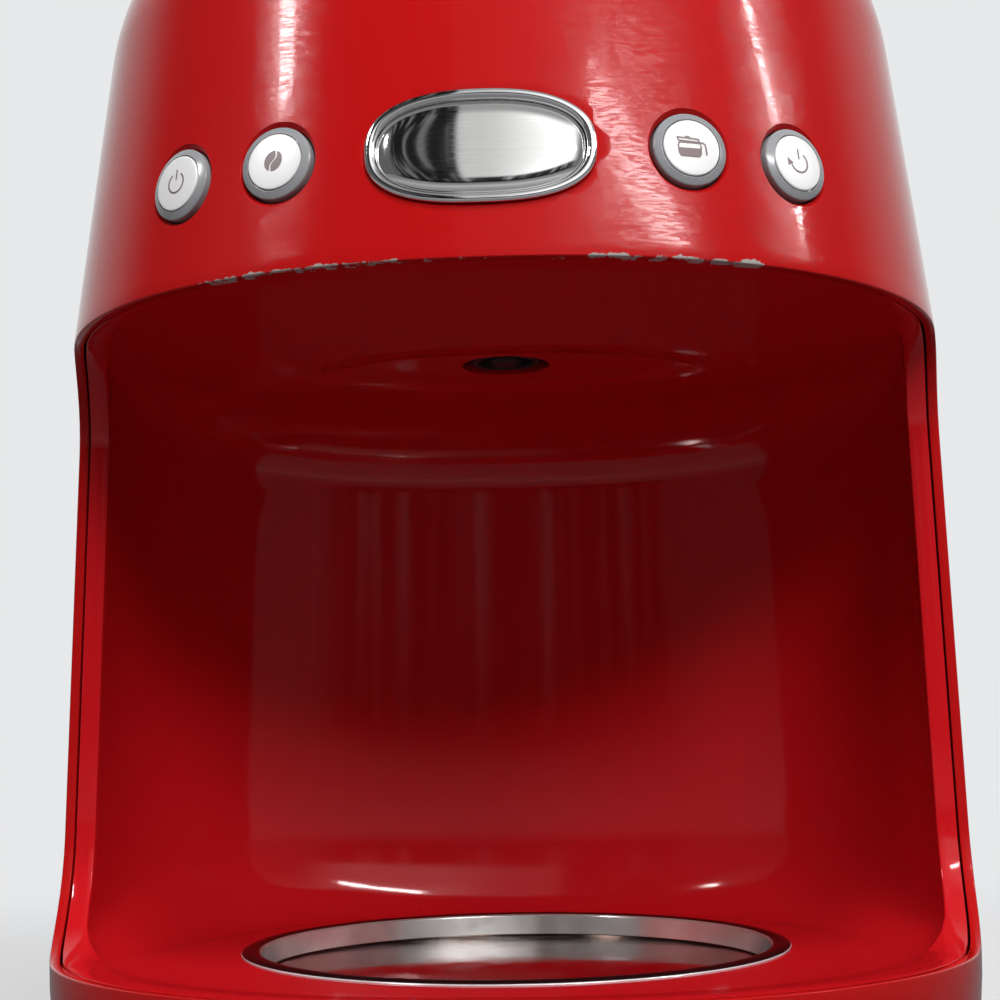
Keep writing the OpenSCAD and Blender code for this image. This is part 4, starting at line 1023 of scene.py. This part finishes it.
# %% [markdown]
# ## Red enamel on the shell and the lid
# The shell has a deep gloss coat over an opaque red. A little orange peel and a web of very fine
# scratches break up its highlights. Along the front lower edge of the head the paint has chipped
# away where hands and jugs knock it, down to a pale grey primer: a band mask at that height, cut
# into flakes by a noise, mixes the primer in and dulls it.

# %% Red enamel
tree, shader = finish(
    "red_enamel", ["painted_shell", "painted_lid"], (0.44, 0.0060, 0.0065), 0.26,
    (tinted, blotches, dict(Scale=9), (0.385, 0.0045, 0.0050), 0.35),
    (roughened, blotches, dict(Scale=22, Low=0.3, High=0.75), 0.20, 0.34),
    (bumped, blotches, dict(Scale=420, Low=0.2, High=0.8), 0.04, 0.00003),
    (bumped, scratches, dict(Scale=240, Stretch=0.12, Cover=0.62), 0.08, 0.00002),
    (roughened, scratches, dict(Scale=95, Stretch=15, Cover=0.47), 0.05, 0.18, "Coat Roughness"),
    (bumped, scratches, dict(Scale=300, Stretch=8, Cover=0.50), 0.45, 0.00004, "Coat Normal"),
    Coat_Weight=1.0, Specular_IOR_Level=0.02, Coat_IOR=1.21)


def chip_mask(tree):
    """Mask of the flakes along the head's lower front edge."""
    place = spot(tree)
    _, y, z = add_node(tree, "SeparateXYZ", place).outputs
    flakes = add_node(tree, "TexNoise", Vector=place, Scale=260, Detail=5, Roughness=0.6)
    runs = add_node(tree, "TexNoise", Vector=place, Scale=24, Detail=2)
    off = reckoned(tree, "ABSOLUTE", reckoned(tree, "SUBTRACT", z, (HEAD_Z + 0.1) * MM), 0)
    worn = reckoned(tree, "ADD", reckoned(tree, "MULTIPLY", flakes.outputs["Fac"], 0.55),
                    reckoned(tree, "MULTIPLY", runs.outputs["Fac"], 0.5))
    worn = reckoned(tree, "SUBTRACT", worn, reckoned(tree, "MULTIPLY", off, 105))
    worn = reckoned(tree, "SUBTRACT", worn, ramped(tree, y, -0.104, -0.092))
    return ramped(tree, worn, 0.503, 0.512)


chips = chip_mask(tree)
tinted(tree, shader, chips, (0.36, 0.33, 0.31))
bumped(tree, shader, chips, -0.5, 0.00015)
roughened(tree, shader, chips, 1, 0.1, "Coat Weight")

# %% [markdown]
# ## The moulding's red
# The bay is moulded in a red plastic of nearly the same colour, with a gloss of its own and no
# clear coat. It shows faint flow marks and a few specks of dust that settled on the floor.

# %% Moulded red
finish("moulded_red", ["bay_moulding"], (0.54, 0.0080, 0.0125), 0.09,
       (tinted, blotches, dict(Scale=7), (0.42, 0.0050, 0.008), 0.4),
       (tinted, specks, dict(Scale=160, Size=0.03), (0.7, 0.45, 0.4), 0.5),
       (roughened, blotches, dict(Scale=14, Low=0.3, High=0.8), 0.06, 0.13),
       (bumped, blotches, dict(Scale=60, Low=0.2, High=0.8), 0.03, 0.0001), IOR=1.35)

# %% [markdown]
# ## Metals
# Five steels are needed: a bright polish for the bezel, a worn one for the ring, with a painted
# dark reflection on its bead, a painted highlight line along its rim and painted shade in the gap
# at the plate, a fine circular brushing for the hot plate, plain drawn steel for hardware, and a
# gauze. The silvered window is a metal too, with faint lines.

# %% Polished and worn steel
finish("polished_steel", ["display_ring", "hinge_pins"], (0.80, 0.80, 0.81), 0.07,
       (tinted, blotches, dict(Scale=40), (0.66, 0.66, 0.68), 0.4),
       (roughened, scratches, dict(Scale=180, Stretch=6, Cover=0.5), 0.05, 0.16),
       (bumped, scratches, dict(Scale=320, Stretch=8, Cover=0.5), 0.05, 0.00002), Metallic=1.0)

tree, shader = finish(
    "worn_steel_with_painted_light", ["steel_ring"], (0.80, 0.77, 0.75), 0.2,
    (tinted, blotches, dict(Scale=60), (0.62, 0.58, 0.56), 0.6),
    (roughened, scratches, dict(Scale=120, Stretch=3, Cover=0.4), 0.15, 0.30),
    (bumped, scratches, dict(Scale=320, Stretch=8, Cover=0.5), 0.06, 0.00002), Metallic=0.75)
reach = level_reach(tree, BREW_Y * MM)
outer = ramped(tree, reach, (WALL_R + 0.5) * MM, (WALL_R + 0.9) * MM)
painted_rim_highlight = ramped(tree, reach, (RING_R - 0.32) * MM, (RING_R - 0.14) * MM)
painted_seam_shade = ramped(tree, reach, (WALL_R - 0.01) * MM, (WALL_R - 0.08) * MM)
# Painted reflection: the bead is tinted dark, as the dark bay would look mirrored in it.
tinted(tree, shader, reckoned(tree, "SUBTRACT", outer, painted_rim_highlight), (0.15, 0.11, 0.125))
# Painted highlight: a pale line along the bead's outer rim.
tinted(tree, shader, painted_rim_highlight, (0.74, 0.76, 0.80))
# Painted shade: the gap at the foot of the wall is tinted near black.
tinted(tree, shader, painted_seam_shade, (0.04, 0.025, 0.02))
# The rim line is made less metallic so that the lamps light it, as part of the painted highlight.
set_inputs(tree, shader, Specular_Tint=(0.4, 0.34, 0.36, 1),
           Metallic=blended(tree, painted_rim_highlight, blended(tree, outer, 0.72, 0.97), 0.35))

# %% Plate, window and hardware
tree, shader = finish(
    "brushed_plate", ["steel_plate"], (0.33, 0.25, 0.24), 0.10,
    (tinted, blotches, dict(Scale=18), (0.38, 0.35, 0.34), 0.5),
    (roughened, blotches, dict(Scale=90, Low=0.3, High=0.8), 0.07, 0.16), Metallic=1.0)
centred = add_node(tree, "Mapping", Vector=spot(tree), Location=(0, -BREW_Y * MM, 0))
circles = add_node(tree, "TexWave", traits=[("wave_type", "RINGS"), ("rings_direction", "Z")],
                   Vector=centred.outputs[0], Scale=900, Distortion=1.2)
bumped(tree, shader, circles.outputs["Fac"], 0.05, 0.00002)

finish("silvered_window", ["display_window"], (0.86, 0.86, 0.85), 0.05,
       (tinted, scratches, dict(Scale=90, Stretch=26, Cover=0.45), (0.6, 0.6, 0.6), 0.3),
       (roughened, scratches, dict(Scale=120, Stretch=30, Cover=0.4), 0.04, 0.14),
       Metallic=1.0, Coat_Weight=0.5)
finish("drawn_steel", ["heater_strap", "strap_nut", "base_screws", "coiled_spring"],
       (0.55, 0.55, 0.56), 0.3,
       (roughened, blotches, dict(Scale=80), 0.22, 0.42),
       (bumped, scratches, dict(Scale=200, Stretch=5), 0.1, 0.00003), Metallic=1.0)
WEAVE = dict(Scale=1500, Size=0.55)
finish("steel_gauze", ["mesh_filter"], (0.50, 0.49, 0.47), 0.38,
       (tinted, specks, WEAVE, (0.16, 0.155, 0.15), 0.8), (bumped, specks, WEAVE, 0.35, 0.00008),
       Metallic=0.9)
print("materials so far:", len(bpy.data.materials))

# %% [markdown]
# ## Plastics, rubber and boards
# The remaining parts are ordinary plastics. Each still has its own grain: satin grey caps, warm
# white discs, black structural mouldings with a fine spark texture, clear tank plastic, soft rubber
# and the green boards.

# %% Plastics
finish("grey_cap", skins["button"], (0.27, 0.275, 0.285), 0.2,
       (tinted, blotches, dict(Scale=60), (0.21, 0.215, 0.225), 0.5),
       (bumped, specks, dict(Scale=900, Size=0.5), 0.06, 0.00003))
finish("white_disc", [*skins["disc"], "reservoir_filter", "check_valve"], (0.74, 0.73, 0.73), 0.34,
       (tinted, specks, dict(Scale=500, Size=0.06), (0.5, 0.48, 0.48), 0.5),
       (bumped, specks, dict(Scale=1100, Size=0.5), 0.05, 0.00003))
finish("sign_print", [sign.name for sign in signs], (0.16, 0.11, 0.115), 0.45,
       (tinted, specks, dict(Scale=700, Size=0.2), (0.2, 0.15, 0.15), 0.5))
finish("black_moulding",
       ["lid_liner", "lid_arms", "hinge_brackets", "spray_head", "top_deck", "filter_basket",
        "valve_cap", "valve_plunger", "riser_spout", "control_carrier", "base_plate", "base_frame",
        "display_module", "button_switches"], (0.018, 0.018, 0.02), 0.42,
       (tinted, blotches, dict(Scale=25), (0.03, 0.03, 0.032), 0.6),
       (roughened, blotches, dict(Scale=50), 0.46, 0.54),
       (bumped, specks, dict(Scale=1300, Size=0.6), 0.12, 0.00004), Specular_IOR_Level=0.35)
finish("clear_tank", ["reservoir", "level_window"], (0.82, 0.86, 0.88), 0.12,
       (roughened, blotches, dict(Scale=30), 0.08, 0.2),
       (bumped, blotches, dict(Scale=120), 0.04, 0.0001), Transmission_Weight=0.85, IOR=1.49)
finish("black_rubber", ["feet", "cord_gland"], (0.012, 0.012, 0.012), 0.7,
       (roughened, blotches, dict(Scale=70), 0.6, 0.8),
       (bumped, specks, dict(Scale=900, Size=0.5), 0.15, 0.00005))
finish("milky_silicone", ["feed_hose", "riser_hose", "valve_seal"], (0.55, 0.55, 0.53), 0.45,
       (tinted, blotches, dict(Scale=40), (0.62, 0.6, 0.55), 0.6),
       (bumped, blotches, dict(Scale=200), 0.08, 0.00005))
finish("cast_aluminium", ["heater"], (0.55, 0.56, 0.57), 0.42,
       (roughened, blotches, dict(Scale=60), 0.32, 0.55),
       (bumped, specks, dict(Scale=600, Size=0.6), 0.25, 0.00008), Metallic=1.0)
finish("glazed_ceramic", ["thermostats", "thermal_fuse"], (0.72, 0.70, 0.64), 0.2,
       (tinted, specks, dict(Scale=300, Size=0.08), (0.3, 0.28, 0.25), 0.5))
finish("circuit_board", ["control_board", "power_board"], (0.02, 0.12, 0.05), 0.28,
       (tinted, scratches, dict(Scale=300, Stretch=1, Cover=0.55), (0.05, 0.22, 0.09), 0.8),
       (tinted, specks, dict(Scale=260, Size=0.12), (0.6, 0.6, 0.55), 0.8))
print("materials:", len(bpy.data.materials))

# %% [markdown]
# ## The floor
# The machine stands on a plain pale floor that runs far enough to fill every view. It keeps the
# machine's shadow and fades into the backdrop further out. It belongs to the stage, not to the
# part.

# %% Floor
floor_mesh = bmesh.new()
bmesh.ops.create_grid(floor_mesh, x_segments=4, y_segments=4, size=6)
floor = new_object("floor", floor_mesh)
tree, shader = finish("pale_floor", ["floor"], (0.13, 0.13, 0.135), 0.85,
                      (tinted, blotches, dict(Scale=3), (0.115, 0.115, 0.12), 0.5))
reach = level_reach(tree)
rays = add_node(tree, "LightPath").outputs
# The floor is dark to bounced light and pale where the camera looks. In reflections it is painted
# darker near the machine and lighter further out, a painted shade.
dimmed = reckoned(tree, "MULTIPLY", rays["Is Glossy Ray"],
                  ramped(tree, reach, 0.6, 1.3, 0.05, 0.22))
watched = reckoned(tree, "MAXIMUM", rays["Is Camera Ray"],
                   reckoned(tree, "MAXIMUM", dimmed, rays["Is Transmission Ray"]))
tinted(tree, shader, watched, (0.80, 0.80, 0.81))
paper = add_node(tree, "Emission", Color=BACKDROP)
away = reckoned(tree, "MULTIPLY", ramped(tree, reach, 0.25, 0.9), watched)
fade = add_node(tree, "MixShader", away, shader.outputs[0], paper.outputs[0])
tree.links.new(fade.outputs[0], tree.nodes["Material Output"].inputs["Surface"])
print("floor in metres:", [round(side) for side in floor.dimensions])
